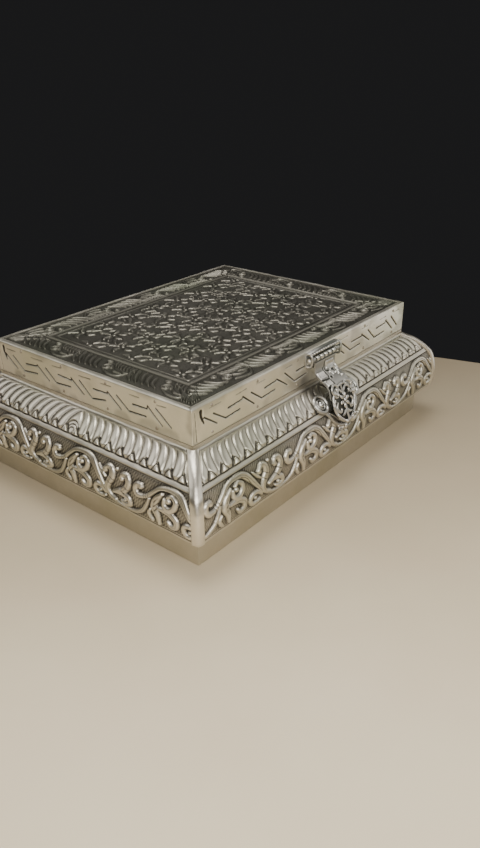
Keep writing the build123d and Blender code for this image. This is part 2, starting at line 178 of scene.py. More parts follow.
def blur(field, reach):
    """A box blur, twice, over 2 * reach + 1 cells each way."""
    for axis in (0, 1, 0, 1):
        padding = [(reach + 1, reach) if k == axis else (0, 0) for k in (0, 1)]
        total = np.cumsum(np.pad(field, padding, mode="edge"), axis=axis)
        ahead = np.take(total, np.arange(2 * reach + 1, total.shape[axis]), axis=axis)
        behind = np.take(total, np.arange(0, total.shape[axis] - 2 * reach - 1), axis=axis)
        field = (ahead - behind) / (2 * reach + 1)
    return field


def waves(shape, reach, high):
    """Soft random swells over a grid."""
    return high * blur(RNG.standard_normal(shape), reach)


# --- embossing
class Relief:
    """Heights over a sheet that is 2 * half(v) long at row v, worked by raising and cutting strokes."""

    def __init__(self, half, rows, quads):
        low, high = rows
        self.step = math.sqrt(2 * max(half(low), half(high)) * (high - low) / quads)
        self.rows = np.linspace(low, high, int((high - low) / self.step) + 1)
        self.half = np.array([half(v) for v in self.rows])
        self.share = np.linspace(-1, 1, int(2 * self.half.max() / self.step) + 1)
        self.u = self.half[:, None] * self.share
        self.v = np.broadcast_to(self.rows[:, None], self.u.shape)
        self.h = np.zeros(self.u.shape)
        self.dark = np.zeros(self.u.shape)

    def window(self, path, reach):
        """The block of rows and columns within reach of a path."""
        (low_u, low_v), (high_u, high_v) = path.min(0) - reach, path.max(0) + reach
        top, foot = np.searchsorted(self.rows, (low_v, high_v))
        if top == foot:
            return None
        half = self.half[top:foot]
        left, right = np.searchsorted(self.share, ((low_u / half).min(), (high_u / half).max()))
        return None if left == right else (slice(top, foot), slice(left, right))

    def closeness(self, points, widths):
        """1 on a curve, falling to 0 at its half width, with the block that it touches."""
        path, width = smooth(points, widths)
        block = self.window(path, width.max())
        if block is None:
            return None, None
        du = self.u[block][..., None] - path[:, 0]
        dv = self.v[block][..., None] - path[:, 1]
        return block, np.clip((1 - (du * du + dv * dv) / width**2).max(-1), 0, 1)

    def swell(self, points, widths, height, base=0.0, power=0.6):
        """Raises a rounded ridge along a curve."""
        block, near = self.closeness(points, widths)
        if block:
            raised = np.where(near > 0, base + (height - base) * near**power, -np.inf)
            self.h[block] = np.maximum(self.h[block], raised)
            self.dark[block] *= 1 - ease(near, 0.0, 0.35)

    def cut(self, points, widths, depth, dark=0.9):
        """Chases a dark line along a curve."""
        block, near = self.closeness(points, widths)
        if block:
            self.h[block] -= depth * near**0.7
            self.dark[block] = np.maximum(self.dark[block], dark * ease(near, 0.0, 0.7))

    def knob(self, centre, radius, height):
        """Raises a round boss."""
        self.swell([centre, (centre[0] + 0.05, centre[1])], [radius, radius], height)

    def darken(self, field):
        """Darkens the metal wherever a field is darker than what is there."""
        self.dark = np.maximum(self.dark, field)

    def painted_shadow(self, centre, size, dark):
        """A soft painted shadow, darkened into the tone about a place."""
        near = ((self.u - centre[0]) / size[0]) ** 2 + ((self.v - centre[1]) / size[1]) ** 2
        self.darken(dark * np.exp(-near))

    def from_end(self):
        """Distance of each point from the nearer end of its row."""
        return self.half[:, None] - np.abs(self.u)

    def inner_u(self):
        """u on the sheet's inner face, whose ends are mitred too."""
        return self.u * (1 - SHEET / self.half[:, None])

    def tone(self, cavity=0.9, reach=1.1):
        """How bright each point is: raised metal near 1, chased lines and ground near 0."""
        hollow = self.h - blur(self.h, max(1, round(reach / self.step)))
        return np.clip(1 - self.dark + cavity * np.minimum(hollow, 0.25), 0, 1)


def across(reach, v):
    """A straight line along a row."""
    return [(-reach, v), (reach, v)]


# --- meshes
def add_object(name, data):
    """An object in the scene."""
    made = bpy.data.objects.new(name, data)
    bpy.context.scene.collection.objects.link(made)
    return made


def make_mesh(name, points, faces, smooth_count, tone=None):
    """A mesh object from points in millimetres and faces, of which the first ones are shaded smooth."""
    mesh = bpy.data.meshes.new(name)
    mesh.from_pydata((np.asarray(points, float) * MM).tolist(), [], faces)
    mesh.polygons.foreach_set("use_smooth", np.arange(len(faces)) < smooth_count)
    if tone is not None:
        layer = mesh.attributes.new("tone", "FLOAT", "POINT")
        layer.data.foreach_set("value", np.asarray(tone, np.float32))
    mesh.validate()
    return add_object(name, mesh)


def sheet_solid(name, surface, back, tone):
    """A closed sheet: a dense grid in front, plain strips behind and walls along its edge.

    surface and back are rows x columns x 3 grids, of which only the back's edge is used.
    """
    rows, cols = surface.shape[:2]
    index = np.arange(rows * cols).reshape(rows, cols)
    front = np.stack([index[:-1, :-1], index[1:, :-1], index[1:, 1:], index[:-1, 1:]], -1).reshape(-1, 4)
    ring = np.concatenate([index[0, :-1], index[:-1, -1], index[-1, :0:-1], index[:0:-1, 0]])
    after = np.roll(ring, -1)
    behind = np.zeros_like(index)
    behind.flat[ring] = rows * cols + np.arange(len(ring))
    walls = np.stack([ring, after, behind.flat[after], behind.flat[ring]], -1)
    left, right = behind[:, 0], behind[:, -1]
    strips = np.stack([left[1:-2], right[1:-2], right[2:-1], left[2:-1]], -1)
    top = [*behind[0].tolist(), int(right[1]), int(left[1])]
    foot = [int(left[-2]), int(right[-2]), *behind[-1, ::-1].tolist()]
    faces = front.tolist() + walls.tolist() + strips.tolist() + [top, foot]
    points = np.concatenate([surface.reshape(-1, 3), back.reshape(-1, 3)[ring]])
    return make_mesh(name, points, faces, len(front), np.concatenate([tone.ravel(), tone.ravel()[ring]]))


# --- materials
WHITE = (1.0, 1.0, 1.0)


def grey(level):
    """A neutral colour."""
    return (level, level, level)


def mixed(a, b, operation):
    """A colour worked out from two others, channel by channel."""
    return tuple(operation(x, y) for x, y in zip(a, b))


class Paint:
    """A node material, with short ways to add its nodes."""

    def __init__(self, name):
        self.material = bpy.data.materials.new(name)
        self.material.use_nodes = True
        self.tree = self.material.node_tree
        self.shader = self.tree.nodes["Principled BSDF"]

    def feed(self, socket, value):
        """Links another socket into a socket, or sets a number, colour or vector there."""
        if isinstance(value, bpy.types.NodeSocket):
            self.tree.links.new(value, socket)
        elif isinstance(value, tuple):
            socket.default_value = (*value, 1.0)[: len(socket.default_value)]
        else:
            socket.default_value = value

    def give(self, name, value):
        """Feeds one of the shader's inputs."""
        self.feed(self.shader.inputs[name], value)

    def node(self, kind, **inputs):
        """A new node with some of its inputs fed."""
        made = self.tree.nodes.new("ShaderNode" + kind)
        for name, value in inputs.items():
            self.feed(made.inputs[name], value)
        return made

    def noise(self, scale, detail, roughness, stretch=None):
        """Noise in the object's own coordinates."""
        place = self.node("TexCoord").outputs["Object"]
        if stretch:
            place = self.node("Mapping", Vector=place, Scale=stretch).outputs["Vector"]
        made = self.node("TexNoise", Vector=place, Scale=scale, Detail=detail, Roughness=roughness)
        return made.outputs["Fac"]

    def ramp(self, value, *stops):
        """A colour ramp over a value; each stop is (position, colour)."""
        made = self.node("ValToRGB", Fac=value)
        elements = made.color_ramp.elements
        while len(elements) < len(stops):
            elements.new(0.5)
        for element, (position, colour) in zip(elements, stops):
            element.position = position
            element.color = (*colour, 1.0)
        return made.outputs["Color"]

    def blend(self, mode, share, a, b):
        """Two colours blended by a share."""
        made = self.node("Mix")
        made.data_type = "RGBA"
        made.blend_type = mode
        for place, value in ((0, share), (6, a), (7, b)):
            self.feed(made.inputs[place], value)
        return made.outputs[2]

    def math(self, operation, *values, clamp=True):
        """A sum, product or other operation on values."""
        made = self.node("Math")
        made.operation = operation
        made.use_clamp = clamp
        for socket, value in zip(made.inputs, values):
            self.feed(socket, value)
        return made.outputs[0]

    def bump(self, height, strength, distance):
        """Bump from a height, into the shader's normal."""
        made = self.node("Bump", Height=height, Strength=strength, Distance=distance)
        self.give("Normal", made.outputs["Normal"])


def patina_metal(name, bright, dark, tint, polish, dull, uneven=0.12, grain=0.22):
    """White metal: bright where the tone attribute says that it is raised and rubbed, dark where it is
    oxidised and where painted shadows darken the tone.
    """
    paint = Paint(name)
    paint.give("Metallic", 1.0)
    layer = paint.node("Attribute")
    layer.attribute_name = "tone"
    clouds = paint.noise(55.0, 4.0, 0.6)
    grains = paint.noise(900.0, 2.0, 0.6)
    worn = paint.math("MULTIPLY_ADD", clouds, 2 * uneven, -uneven, clamp=False)
    shade = paint.math("ADD", layer.outputs["Fac"], worn)
    between_them = mixed(dark, bright, lambda a, b: 0.5 * (a + b))
    metal = paint.ramp(shade, (0.0, dark), (0.45, between_them), (1.0, bright))
    stains = paint.ramp(paint.noise(18.0, 3.0, 0.55), (0.42, WHITE), (0.72, tint))
    paint.give("Base Color", paint.blend("MULTIPLY", 1.0, metal, stains))
    matt = paint.ramp(shade, (0.0, grey(dull)), (1.0, grey(polish)))
    paint.give("Roughness", paint.blend("OVERLAY", 0.22, matt, clouds))
    dents = paint.math("ADD", paint.math("MULTIPLY", grains, 0.25), paint.noise(160.0, 2.0, 0.5))
    paint.bump(dents, grain, 0.0004)
    return paint.material


def plain_metal(name, colour, rough, brushed=None, tint=(0.9, 0.88, 0.84)):
    """Smooth white metal with faint stains and fine scratches."""
    paint = Paint(name)
    paint.give("Metallic", 1.0)
    stained = mixed(colour, tint, lambda a, b: a * b)
    paint.give("Base Color", paint.ramp(paint.noise(40.0, 4.0, 0.6), (0.35, colour), (0.75, stained)))
    scratches = paint.noise(260.0, 3.0, 0.65, brushed)
    paint.give("Roughness", paint.ramp(scratches, (0.3, grey(rough[0])), (0.75, grey(rough[1]))))
    paint.bump(scratches, 0.2, 0.0003)
    return paint.material


def wood_material(name, pale, deep):
    """Plain sanded wood with long grain."""
    paint = Paint(name)
    grain = paint.noise(90.0, 5.0, 0.6, (0.12, 1.0, 1.0))
    paint.give("Base Color", paint.ramp(grain, (0.3, deep), (0.7, pale)))
    paint.give("Roughness", 0.62)
    paint.bump(grain, 0.3, 0.0004)
    return paint.material


def pile_material(name, deep, lit, scale, sheen):
    """Short-pile cloth: fine tufts and soft crushed patches."""
    paint = Paint(name)
    tufts = paint.noise(scale, 2.0, 0.7)
    crushed = paint.noise(30.0, 3.0, 0.5)
    share = paint.math("ADD", paint.math("MULTIPLY", tufts, 0.55), paint.math("MULTIPLY", crushed, 0.5))
    paint.give("Base Color", paint.ramp(share, (0.3, deep), (0.75, lit)))
    paint.give("Roughness", 0.9)
    paint.give("Sheen Weight", sheen)
    paint.give("Sheen Tint", tuple(min(1.0, 2.2 * c) for c in lit))
    paint.give("Sheen Roughness", 0.4)
    paint.bump(tufts, 0.5, 0.0006)
    return paint.material


MATERIALS = {
    "embossed": patina_metal("embossed_metal", (0.72, 0.69, 0.625), (0.075, 0.068, 0.06), (0.80, 0.84, 0.76),
                             polish=0.34, dull=0.6),
    "lid": patina_metal("lid_side_metal", (0.93, 0.905, 0.83), (0.07, 0.062, 0.05), (0.84, 0.87, 0.77),
                        polish=0.36, dull=0.6, uneven=0.2),
    # Lid top's metal: patina, with colours darkened as painted shade to hold down the overhead lamp's
    # reflection
    "patina_and_painted_shade": patina_metal("oxidised_metal", (0.235, 0.228, 0.204), (0.068, 0.066, 0.057),
                             (0.82, 0.90, 0.80), polish=0.42, dull=0.5),
    "polished": patina_metal("polished_metal", (0.76, 0.73, 0.665), (0.22, 0.20, 0.17), (0.9, 0.9, 0.86),
                             polish=0.33, dull=0.5),
    "clasp": patina_metal("clasp_metal", (0.66, 0.645, 0.63), (0.06, 0.062, 0.055), (0.84, 0.92, 0.88),
                          polish=0.27, dull=0.6, grain=0.08),
    "plain": plain_metal("plain_metal", (0.64, 0.61, 0.53), (0.34, 0.52), tint=(0.86, 0.86, 0.80)),
    "rim": plain_metal("rim_metal", (0.66, 0.625, 0.55), (0.32, 0.5)),
    "hinge": plain_metal("hinge_metal", (0.50, 0.48, 0.44), (0.32, 0.52), brushed=(0.1, 1.0, 1.0)),
    "nail": plain_metal("nail_metal", (0.44, 0.41, 0.355), (0.6, 0.75), tint=(0.7, 0.67, 0.6)),
    "wood": wood_material("wood", (0.42, 0.27, 0.15), (0.26, 0.155, 0.08)),
    "velvet": pile_material("velvet", (0.10, 0.006, 0.012), (0.24, 0.02, 0.035), scale=700.0, sheen=0.8),
    "felt": pile_material("felt", (0.012, 0.012, 0.013), (0.035, 0.034, 0.036), scale=450.0, sheen=0.3),
}


def finish_piece(made, body, material, slot, *nodes):
    """Gives a piece its material and body, and hides the CAD nodes that it stands for. The slot is not used.
    """
    made.data.materials.append(MATERIALS[material])
    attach(made, body)
    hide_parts(*nodes)
    return made


# --- the bulged sides
def side_outline():
    """The cladding's outline from the lip's foot to the plinth, with its distance from the rim's top."""
    points = [LIP_FOOT]
    points += arc(GROOVE, FLUTE_CROWN, BAND_TOP, 24)
    points += arc(BAND_FOOT, WIDEST, FRIEZE_LOW, 30)
    points += arc(FRIEZE_LOW, UNDERCURVE, FRIEZE_FOOT, 12)[1:]
    points = np.array(points)
    return points, RIM_Z - LIP_FOOT[1] + lengths(points)


OUTLINE, OUTLINE_V = side_outline()
NORMAL_REACH = 0.7  # how far each way the outline is looked at for its normal


def on_outline(v):
    """The distance out and height of the outline at v, and its outward normal."""
    before, after = (np.clip(v + d, OUTLINE_V[0], OUTLINE_V[-1]) for d in (-NORMAL_REACH, NORMAL_REACH))
    run = np.array(along(OUTLINE, OUTLINE_V, after)) - along(OUTLINE, OUTLINE_V, before)
    run /= np.linalg.norm(run, axis=0)
    return *along(OUTLINE, OUTLINE_V, v), -run[1], run[0]


def on_side(side, u, deep, z):
    """Points of a side from u, the distance from the box's middle and the height."""
    nx, ny = SIDES[side]
    return np.stack([nx * deep - ny * u, ny * deep + nx * u, np.broadcast_to(z, u.shape)], -1)


# One scroll, about an arch's crown, with v down from the band. Each stroke is (points, half widths, height),
# each knob (centre, radius, height) and each vein the points of a chased line.
STEM = [(-16.6, 9.9), (-13.0, 8.7), (-8.7, 5.3), (-4.8, 2.6), (0.0, 1.5), (5.8, 1.7), (9.6, 3.7),
        (13.5, 8.0), (18.3, 13.5), (22.1, 17.0), (27.0, 19.6), (33.6, 20.6), (40.0, 20.2), (45.2, 18.0),
        (48.6, 14.2), (50.9, 9.5)]
STEM_WIDTHS = [1.2, 1.3, 1.3, 1.3, 1.4, 1.9, 2.3, 1.9, 1.3, 0.9, 1.0, 1.1, 1.2, 1.3, 1.2, 0.8]
STROKES = [
    ([(-16.2, 9.8), (-19.6, 9.9), (-21.2, 7.6), (-20.0, 5.2), (-17.4, 4.6)], [1.3, 1.6, 1.7, 1.5, 1.1], 1.2),
    ([(-3.2, 4.8), (-6.6, 8.3), (-8.0, 12.3), (-6.2, 15.8), (-5.2, 20.3)], [1.0, 1.9, 2.4, 1.9, 1.0], 1.25),
    ([(-1.6, 6.6), (-1.2, 9.6), (1.9, 10.8), (5.0, 8.9), (5.7, 5.8), (3.0, 3.9), (0.6, 5.0)],
     [0.9, 1.4, 1.6, 1.6, 1.4, 1.1, 0.9], 1.1),
    ([(-5.5, 12.0), (-1.0, 12.0), (2.9, 12.6), (6.3, 14.9), (6.0, 18.0), (2.9, 18.9), (1.0, 17.0)],
     [1.0, 1.6, 1.8, 1.9, 1.6, 1.4, 0.9], 1.15),
    ([(19.6, 16.9), (16.6, 14.6), (13.0, 14.6), (11.0, 17.0), (12.5, 19.7), (15.8, 20.2), (18.6, 19.2)],
     [0.8, 1.3, 1.4, 1.4, 1.4, 1.2, 0.8], 1.05),
    ([(19.0, 4.6), (21.6, 2.9), (24.0, 4.0), (24.3, 7.4), (22.2, 10.6), (21.0, 14.0), (23.1, 17.0),
      (27.0, 18.4)], [1.1, 1.6, 1.8, 2.1, 2.0, 1.8, 1.4, 0.8], 1.3),
    ([(31.0, 5.9), (32.0, 3.9), (35.0, 3.9), (36.3, 7.2), (34.0, 10.8), (30.0, 12.9), (25.9, 14.2)],
     [1.0, 1.3, 1.7, 1.9, 2.0, 1.7, 0.9], 1.25),
    ([(28.6, 13.6), (32.7, 13.6), (36.4, 14.8), (37.2, 17.6), (33.7, 18.6), (31.2, 17.4)],
     [1.2, 1.6, 1.6, 1.5, 1.2, 0.8], 1.1),
    ([(-10.0, 20.4), (-12.2, 17.2), (-10.9, 14.6)], [0.9, 1.2, 0.6], 0.9),
    ([(14.4, 4.0), (17.0, 6.6), (19.6, 8.6)], [0.5, 1.0, 0.6], 0.8),
]
KNOBS = [((-17.6, 5.6), 1.5, 1.4), ((1.1, 6.8), 1.3, 1.2), ((19.0, 5.2), 1.6, 1.5), ((31.6, 6.3), 1.3, 1.3),
         ((33.6, 16.4), 1.1, 1.1), ((15.0, 17.3), 1.0, 1.0), ((27.2, 2.8), 0.9, 0.8),
         ((-11.5, 19.2), 0.9, 0.9)]
VEINS = [
    [(-5.0, 7.0), (-7.6, 9.6)], [(-4.6, 9.0), (-7.6, 11.8)], [(-4.6, 11.2), (-7.4, 14.0)],
    [(-15.6, 8.0), (-14.4, 10.4)], [(-14.2, 7.3), (-13.0, 9.7)], [(-12.8, 6.5), (-11.6, 8.9)],
    [(22.4, 6.8), (26.0, 8.8)], [(21.2, 9.4), (24.6, 11.4)], [(33.0, 8.6), (36.4, 10.4)],
    [(31.0, 10.6), (33.6, 13.0)], [(1.4, 13.8), (4.6, 15.8)], [(12.6, 16.0), (15.0, 16.2)],
    [(5.4, 2.6), (9.2, 4.6), (12.4, 9.0), (16.8, 13.4)],
]
GROUND_DEEP = 0.45  # how far the frieze's ground is beaten down
GROUND_DARK = 0.58
LEAF_ROUND = 0.45  # the power that gives a leaf its full, round section
GROOVED = 1.7  # a leaf with a wider half width than this has a line chased along it
FLUTE_LEAN = 8.5  # how far a flute's top lies beside its foot
FAN_HUB = 4.8  # radius of the bare half round under the fan of flutes
FAN_RINGS = (4.9, 3.3, 1.8)
TOOTH_HALF = 2.5


def emboss_scroll(relief, crown, stretch):
    """One scroll of the frieze, with the crown of its arch at a place along the side."""

    def placed(points):
        return [(crown + stretch * a, FRIEZE[0] + SCROLL_TALL * b) for a, b in points]

    relief.swell(placed(STEM), [0.9 * w for w in STEM_WIDTHS], 0.85, base=-0.2, power=LEAF_ROUND)
    relief.cut(placed(STEM), [0.2, 0.34, 0.34, 0.2], 0.3, 0.55)
    for points, widths, height in STROKES:
        relief.swell(placed(points), [0.98 * w for w in widths], 0.85 * height, base=-0.3, power=LEAF_ROUND)
        if max(widths) > GROOVED:
            relief.cut(placed(points[1:-1]), [0.2, 0.34, 0.2], 0.32, 0.55)
    for centre, radius, height in KNOBS:
        relief.knob(placed([centre])[0], radius, 0.8 * height)
    for points in VEINS:
        relief.cut(placed(points), [0.30, 0.38], 0.34, 0.8)


def emboss_frieze(relief, side):
    """The running leaf scroll on a dark stippled ground."""
    top, foot = FRIEZE
    ground = between(relief.v, top - 0.2, foot + 0.2, 0.5, 0.8)
    hatch = np.sin(3.6 * relief.u + 2.2 * relief.v) * np.sin(0.5 * relief.u - 0.9 * relief.v)
    relief.darken((GROUND_DARK + 0.12 * hatch) * ground)
    relief.h -= (GROUND_DEEP + 0.14 * hatch + 0.2 * RNG.random(relief.h.shape)) * ground
    long, start = LAYOUT[side]["scroll"], LAYOUT[side]["scroll_start"]
    reach = relief.half.max()
    first = math.floor((-reach - start) / long) - 1
    for k in range(first, first + int(2 * reach / long) + 4):
        emboss_scroll(relief, start + k * long, long / SCROLL)


def emboss_flutes(relief, side):
    """Long curved flutes that lean to a fan at the middle of the side."""
    top, foot = FLUTES
    rise = np.clip((foot - 0.4 - relief.v) / (foot - top), 0, 1)
    lean = FLUTE_LEAN * (1 - np.sqrt(1 - 0.98 * rise**2))
    phase = (-np.abs(relief.u) - lean) / LAYOUT[side]["flute_pitch"]
    aside = 2 * (phase - np.floor(phase)) - 1  # from -1 to 1 over each flute
    ends = ease(relief.v, top, top + 0.9) * np.clip((foot - 1.2 * aside**2 - relief.v) / 0.8, 0, 1) ** 0.5
    ends *= ease(np.hypot(relief.u, (relief.v - foot) * 0.8), FAN_HUB, FAN_HUB + 0.6)
    relief.h += ends * LAYOUT[side]["flute_high"] * (1 - np.abs(aside - 0.12) ** 2.8)
    line = ends * ease(np.abs(aside), 0.78, 0.96)
    relief.darken(np.maximum(0.85 * line, 0.12 * ends))
    relief.cut(across(relief.half.max(), top - 0.5), [0.5, 0.5], 0.35, 0.35)
    turns = np.linspace(0, math.pi, 9)
    for radius in FAN_RINGS:
        ring = [(radius * math.cos(t), foot - 0.6 - 1.2 * radius * math.sin(t)) for t in turns]
        relief.cut(ring, [0.34, 0.34], 0.4, 0.8)


def emboss_chevrons(relief, side):
    """A row of teeth between the flutes and the plain band, which runs between two lines."""
    top, foot = CHEVRONS
    for k in range(-14, 15):
        u = (k + 0.5) * LAYOUT[side]["chevron_pitch"]
        block, _ = relief.closeness([(u - 1.2, foot - 1.6), (u + 1.2, foot - 1.6)], [2.2, 2.2])
        if block:
            aside = np.abs(relief.u[block] - u)
            reach = TOOTH_HALF * np.clip((relief.v[block] - top) / (foot - top), 0, 1)
            inside = ease(reach - aside, 0.0, 0.3) * (relief.v[block] < foot)
            relief.h[block] += (1.65 - 0.42 * aside - relief.h[block]) * inside
            relief.dark[block] *= 1 - inside
        for lean in (-2.7, 2.7):
            relief.cut([(u + lean, foot), (u + 0.5 * lean, top + 1.5), (u, top)], [0.75, 0.7], 0.6, 1.0)
    relief.h += 0.3 * between(relief.v, *BAND, 0.6, 0.6)
    for line in (*BAND, FRIEZE[1] + 0.3):
        relief.cut(across(relief.half.max(), line), [0.42, 0.42], 0.4, 0.85)


def mitred(half, rows, outs):
    """How a sheet's half length goes with v: its ends follow its outline's distance out."""
    return lambda v: half + float(np.interp(v, rows, outs))


def make_sheet(name, relief, tone, side, place, normal, order):
    """A sheet over a side's outline, from its distance out and height, and its normal, at each point."""
    (out, z), (nout, nz) = place, normal
    deep = LAYOUT[side]["deep"] + out
    surface = on_side(side, relief.u, deep + relief.h * nout, z + relief.h * nz)
    back = on_side(side, relief.inner_u(), deep - SHEET * nout, z - SHEET * nz)
    return sheet_solid(name, surface[::order], back[::order], tone[::order])


def make_side_sheet(side):
    """One bulged side of embossed cladding, mitred at both ends."""
    half_at = mitred(LAYOUT[side]["half"], OUTLINE_V, OUTLINE[:, 0])
    first, last = OUTLINE_V[0], OUTLINE_V[-1]
    relief = Relief(half_at, (first, last), SIDE_QUADS)
    emboss_frieze(relief, side)
    emboss_flutes(relief, side)
    emboss_chevrons(relief, side)
    if side == "front":
        # Painted shadow of the clasp, on the flutes to its left and on the band under it
        relief.painted_shadow((CLASP_X - 14, 8.0), (6.0, 10.0), 0.75)
        relief.painted_shadow((CLASP_X + 3, 18.0), (15.0, 9.0), 0.5)
    relief.h += waves(relief.h.shape, 9, 1.44)
    relief.h *= ease(relief.from_end(), 4.0, 5.2) * between(relief.v, first + 0.2, last, 1.0, 1.0)
    tone = relief.tone()
    relief.h = np.clip(relief.h, -0.62, 2.0)
    out, z, nout, nz = on_outline(relief.v)
    made = make_sheet(f"embossed_side_{side}", relief, tone, side, (out, z), (nout, nz), 1)
    finish_piece(made, "box", "embossed", "embossed_metal", f"side_sheet_{side}")


for side in SIDES:
    make_side_sheet(side)


# --- the lid's sides
FOLD = 0.9
FLANGE = HALF_X - PANEL_X


def lid_side_outline():
    """From the lid's lower edge up its face, round the fold and in along the flange."""
    curve = FOLD * (1 - math.sqrt(0.5))
    fold = arc((0.0, LID_TOP - FOLD), (-curve, LID_TOP - curve), (-FOLD, LID_TOP), 7)
    points = np.array([(0.0, RIM_Z + 0.25), *fold, (-FLANGE, LID_TOP)])
    return points, lengths(points)


LID_OUTLINE, LID_OUTLINE_V = lid_side_outline()
KEY_PITCH = 28.5
# Two strokes of the slanting key, as (along, height above the lid's lower edge)
KEY = [
    [(-11.5, 10.4), (-0.6, 10.6), (-0.2, 11.9), (9.3, 4.9)],
    [(6.8, 12.2), (15.4, 5.2), (27.0, 6.2)],
]


def engrave_lid_side(relief, half):
    """The key, short scratches above it, and a lap and a dent near the left corner."""
    for k in range(-1, int(2 * half / KEY_PITCH) + 2):
        start = -half + 9.0 + k * KEY_PITCH
        for points in KEY:
            line = np.array(points) + (start, 0.0) + 0.35 * RNG.standard_normal((len(points), 2))
            for a, b in zip(line[:-1], line[1:]):
                if max(abs(a[0]), abs(b[0])) < half - 5:
                    relief.cut([a, b], [0.58, 0.48], 0.52, 0.85)
    for k in range(int(2 * half / 20)):
        u = -half + 8 + 20 * k + 5 * RNG.random()
        v = 14.6 + 0.8 * RNG.random()
        relief.cut([(u, v), (u + 6 + 4 * RNG.random(), v + 0.5 * RNG.random())], [0.22, 0.3], 0.22, 0.5)
    relief.cut([(-half + 3.2, 1.0), (-half + 2.2, 16.4)], [0.3, 0.3], 0.35, 0.6)
    relief.cut([(-half + 6.6, 15.4), (-half + 6.8, 12.6), (-half + 8.6, 8.6)], [1.4, 1.1, 0.6], 0.6, 0.85)


def make_lid_side(side):
    """One face of the lid with its engraved key, folded over onto the lid's top."""
    half = LAYOUT[side]["half"]
    fold_end, last = LID_OUTLINE_V[-2:]
    relief = Relief(mitred(half, LID_OUTLINE_V, LID_OUTLINE[:, 0]), (0.0, last), LID_SIDE_QUADS)
    engrave_lid_side(relief, half)
    if side == "front":
        # Painted shadow of the clasp on the lid's front face, to its left
        relief.painted_shadow((CLASP_X - 16, 2.0), (5.0, 10.0), 0.7)
    # The flange past the fold is darkened like the lid's top: partly patina, partly painted shade
    relief.darken(0.6 * ease(relief.v, fold_end - 0.3, fold_end + 0.9))
    relief.h += waves(relief.h.shape, 14, 1.54)
    relief.darken(0.30 * ease(waves(relief.h.shape, 20, 20.0), 0.1, 0.9))
    relief.h = np.clip(relief.h, -0.5, 0.3) * between(relief.v, 0.0, last, 0.8, 0.8)
    relief.h *= ease(relief.from_end(), 0.0, 1.2)
    place = along(LID_OUTLINE, LID_OUTLINE_V, relief.v)
    facing = ease(relief.v, LID_TOP - FOLD - RIM_Z - 0.6, LID_TOP - RIM_Z + 0.4) * math.pi / 2
    normal = (np.cos(facing), np.sin(facing))
    made = make_sheet(f"engraved_lid_side_{side}", relief, relief.tone(cavity=1.2), side, place, normal, -1)
    finish_piece(made, "lid", "lid", "embossed_metal", f"lid_side_{side}")


for side in SIDES:
    make_lid_side(side)


# --- the lid's top
FRAME_IN = 20.0  # from the panel's edge to the inner side of the raised line
FRAME_MIDDLE = 18.1
FRAME_HALF = 1.0
PANEL_SUNK = 0.25  # the panel's ground below the lid's top
BORDER_UNIT = 49.0
BORDER_ENDS = 9.0
BORDER_GROUND = 0.80
LEFT_PAINTED_SHADE = 0.4  # how dark the left strip is at least, as painted shade
FIELD_COLUMNS = 8
FIELD_ROWS = 6
FIELD_GROUND = 0.74
PETALS = 5
LOOSE_LEAVES = 5


def leaflet(relief, points, width, height):
    """A stroke that is pointed at both ends."""
    relief.swell(points, [0.3 * width, 0.9 * width, width, 0.9 * width, 0.25 * width], height, power=0.7)


def spiral(relief, u, v, radius, hand, height, width):
    """A curl that winds into a small boss."""
    points = []
    for t in np.linspace(0, 1, 12):
        near = radius * (1 - 0.6 * t)
        points.append((u + hand * near * math.cos(8.5 * t), v + near * math.sin(8.5 * t)))
    relief.swell(points, [width, width, 0.8 * width], height)
    relief.knob((u, v), 0.28 * radius, height)


def emboss_unit(relief, u, unit):
    """One repeat of the border: a leaf of long veins, two curls, then a comb of short strokes over a stem."""
    for i in range(5):
        foot = u - 0.5 + 4.2 * i
        top = 15.4 - 0.6 * abs(i - 2)
        vein = [(foot, top), (foot + 1.0, top - 3.6), (foot + 3.4, top - 7.2), (foot + 7.2, 3.6 + 0.3 * i)]
        leaflet(relief, vein, 1.15, 0.75)
    spiral(relief, u + 27.4, 8.6, 3.1, 1, 0.7, 0.62)
    spiral(relief, u + 23.6, 14.2, 1.7, -1, 0.55, 0.45)
    for i in range(8):
        foot = u + 28.4 + 2.35 * i
        top = 16.4 - 0.10 * i * (7 - i)
        leaflet(relief, [(foot, top), (foot + 0.5, top - 2.2), (foot + 2.2, top - 4.4)], 0.72, 0.65)
    stem = [(u + 29, 4.6), (u + 34, 3.0), (u + 40, 3.4), (u + unit + 0.5, 9.0)]
    relief.swell(stem, [0.4, 0.8, 0.8, 0.4], 0.55)
    leaflet(relief, [(u + 31.5, 9.0), (u + 35.0, 6.6), (u + 40.0, 6.4)], 0.95, 0.6)
    leaflet(relief, [(u + 37.0, 9.6), (u + 41.0, 8.2), (u + 45.5, 9.2)], 0.9, 0.6)


def emboss_border(relief, half):
    """The running fern border, with a fan of leaves in each corner."""
    long = 2 * half - 2 * BORDER_ENDS
    count = round(long / BORDER_UNIT)
    for k in range(count):
        emboss_unit(relief, -half + BORDER_ENDS + k * long / count, long / count)
    for end in (-1, 1):
        for i in range(4):
            reach = 7.0 + 2.6 * i
            root = end * (half - 3.2 - 1.6 * i)
            bend = (root - end * 0.42 * reach, 1.9 + 0.52 * reach)
            leaflet(relief, [(root, 2.2), bend, (root - end * reach, 1.6 + 0.9 * reach)], 0.85, 0.65)


def weather(relief, dark):
    """Dark stippled ground wherever nothing is raised."""
    flat = 1 - ease(relief.h, 0.04, 0.22)
    relief.darken(dark * flat)
    relief.h -= flat * (0.10 + 0.22 * RNG.random(relief.h.shape))


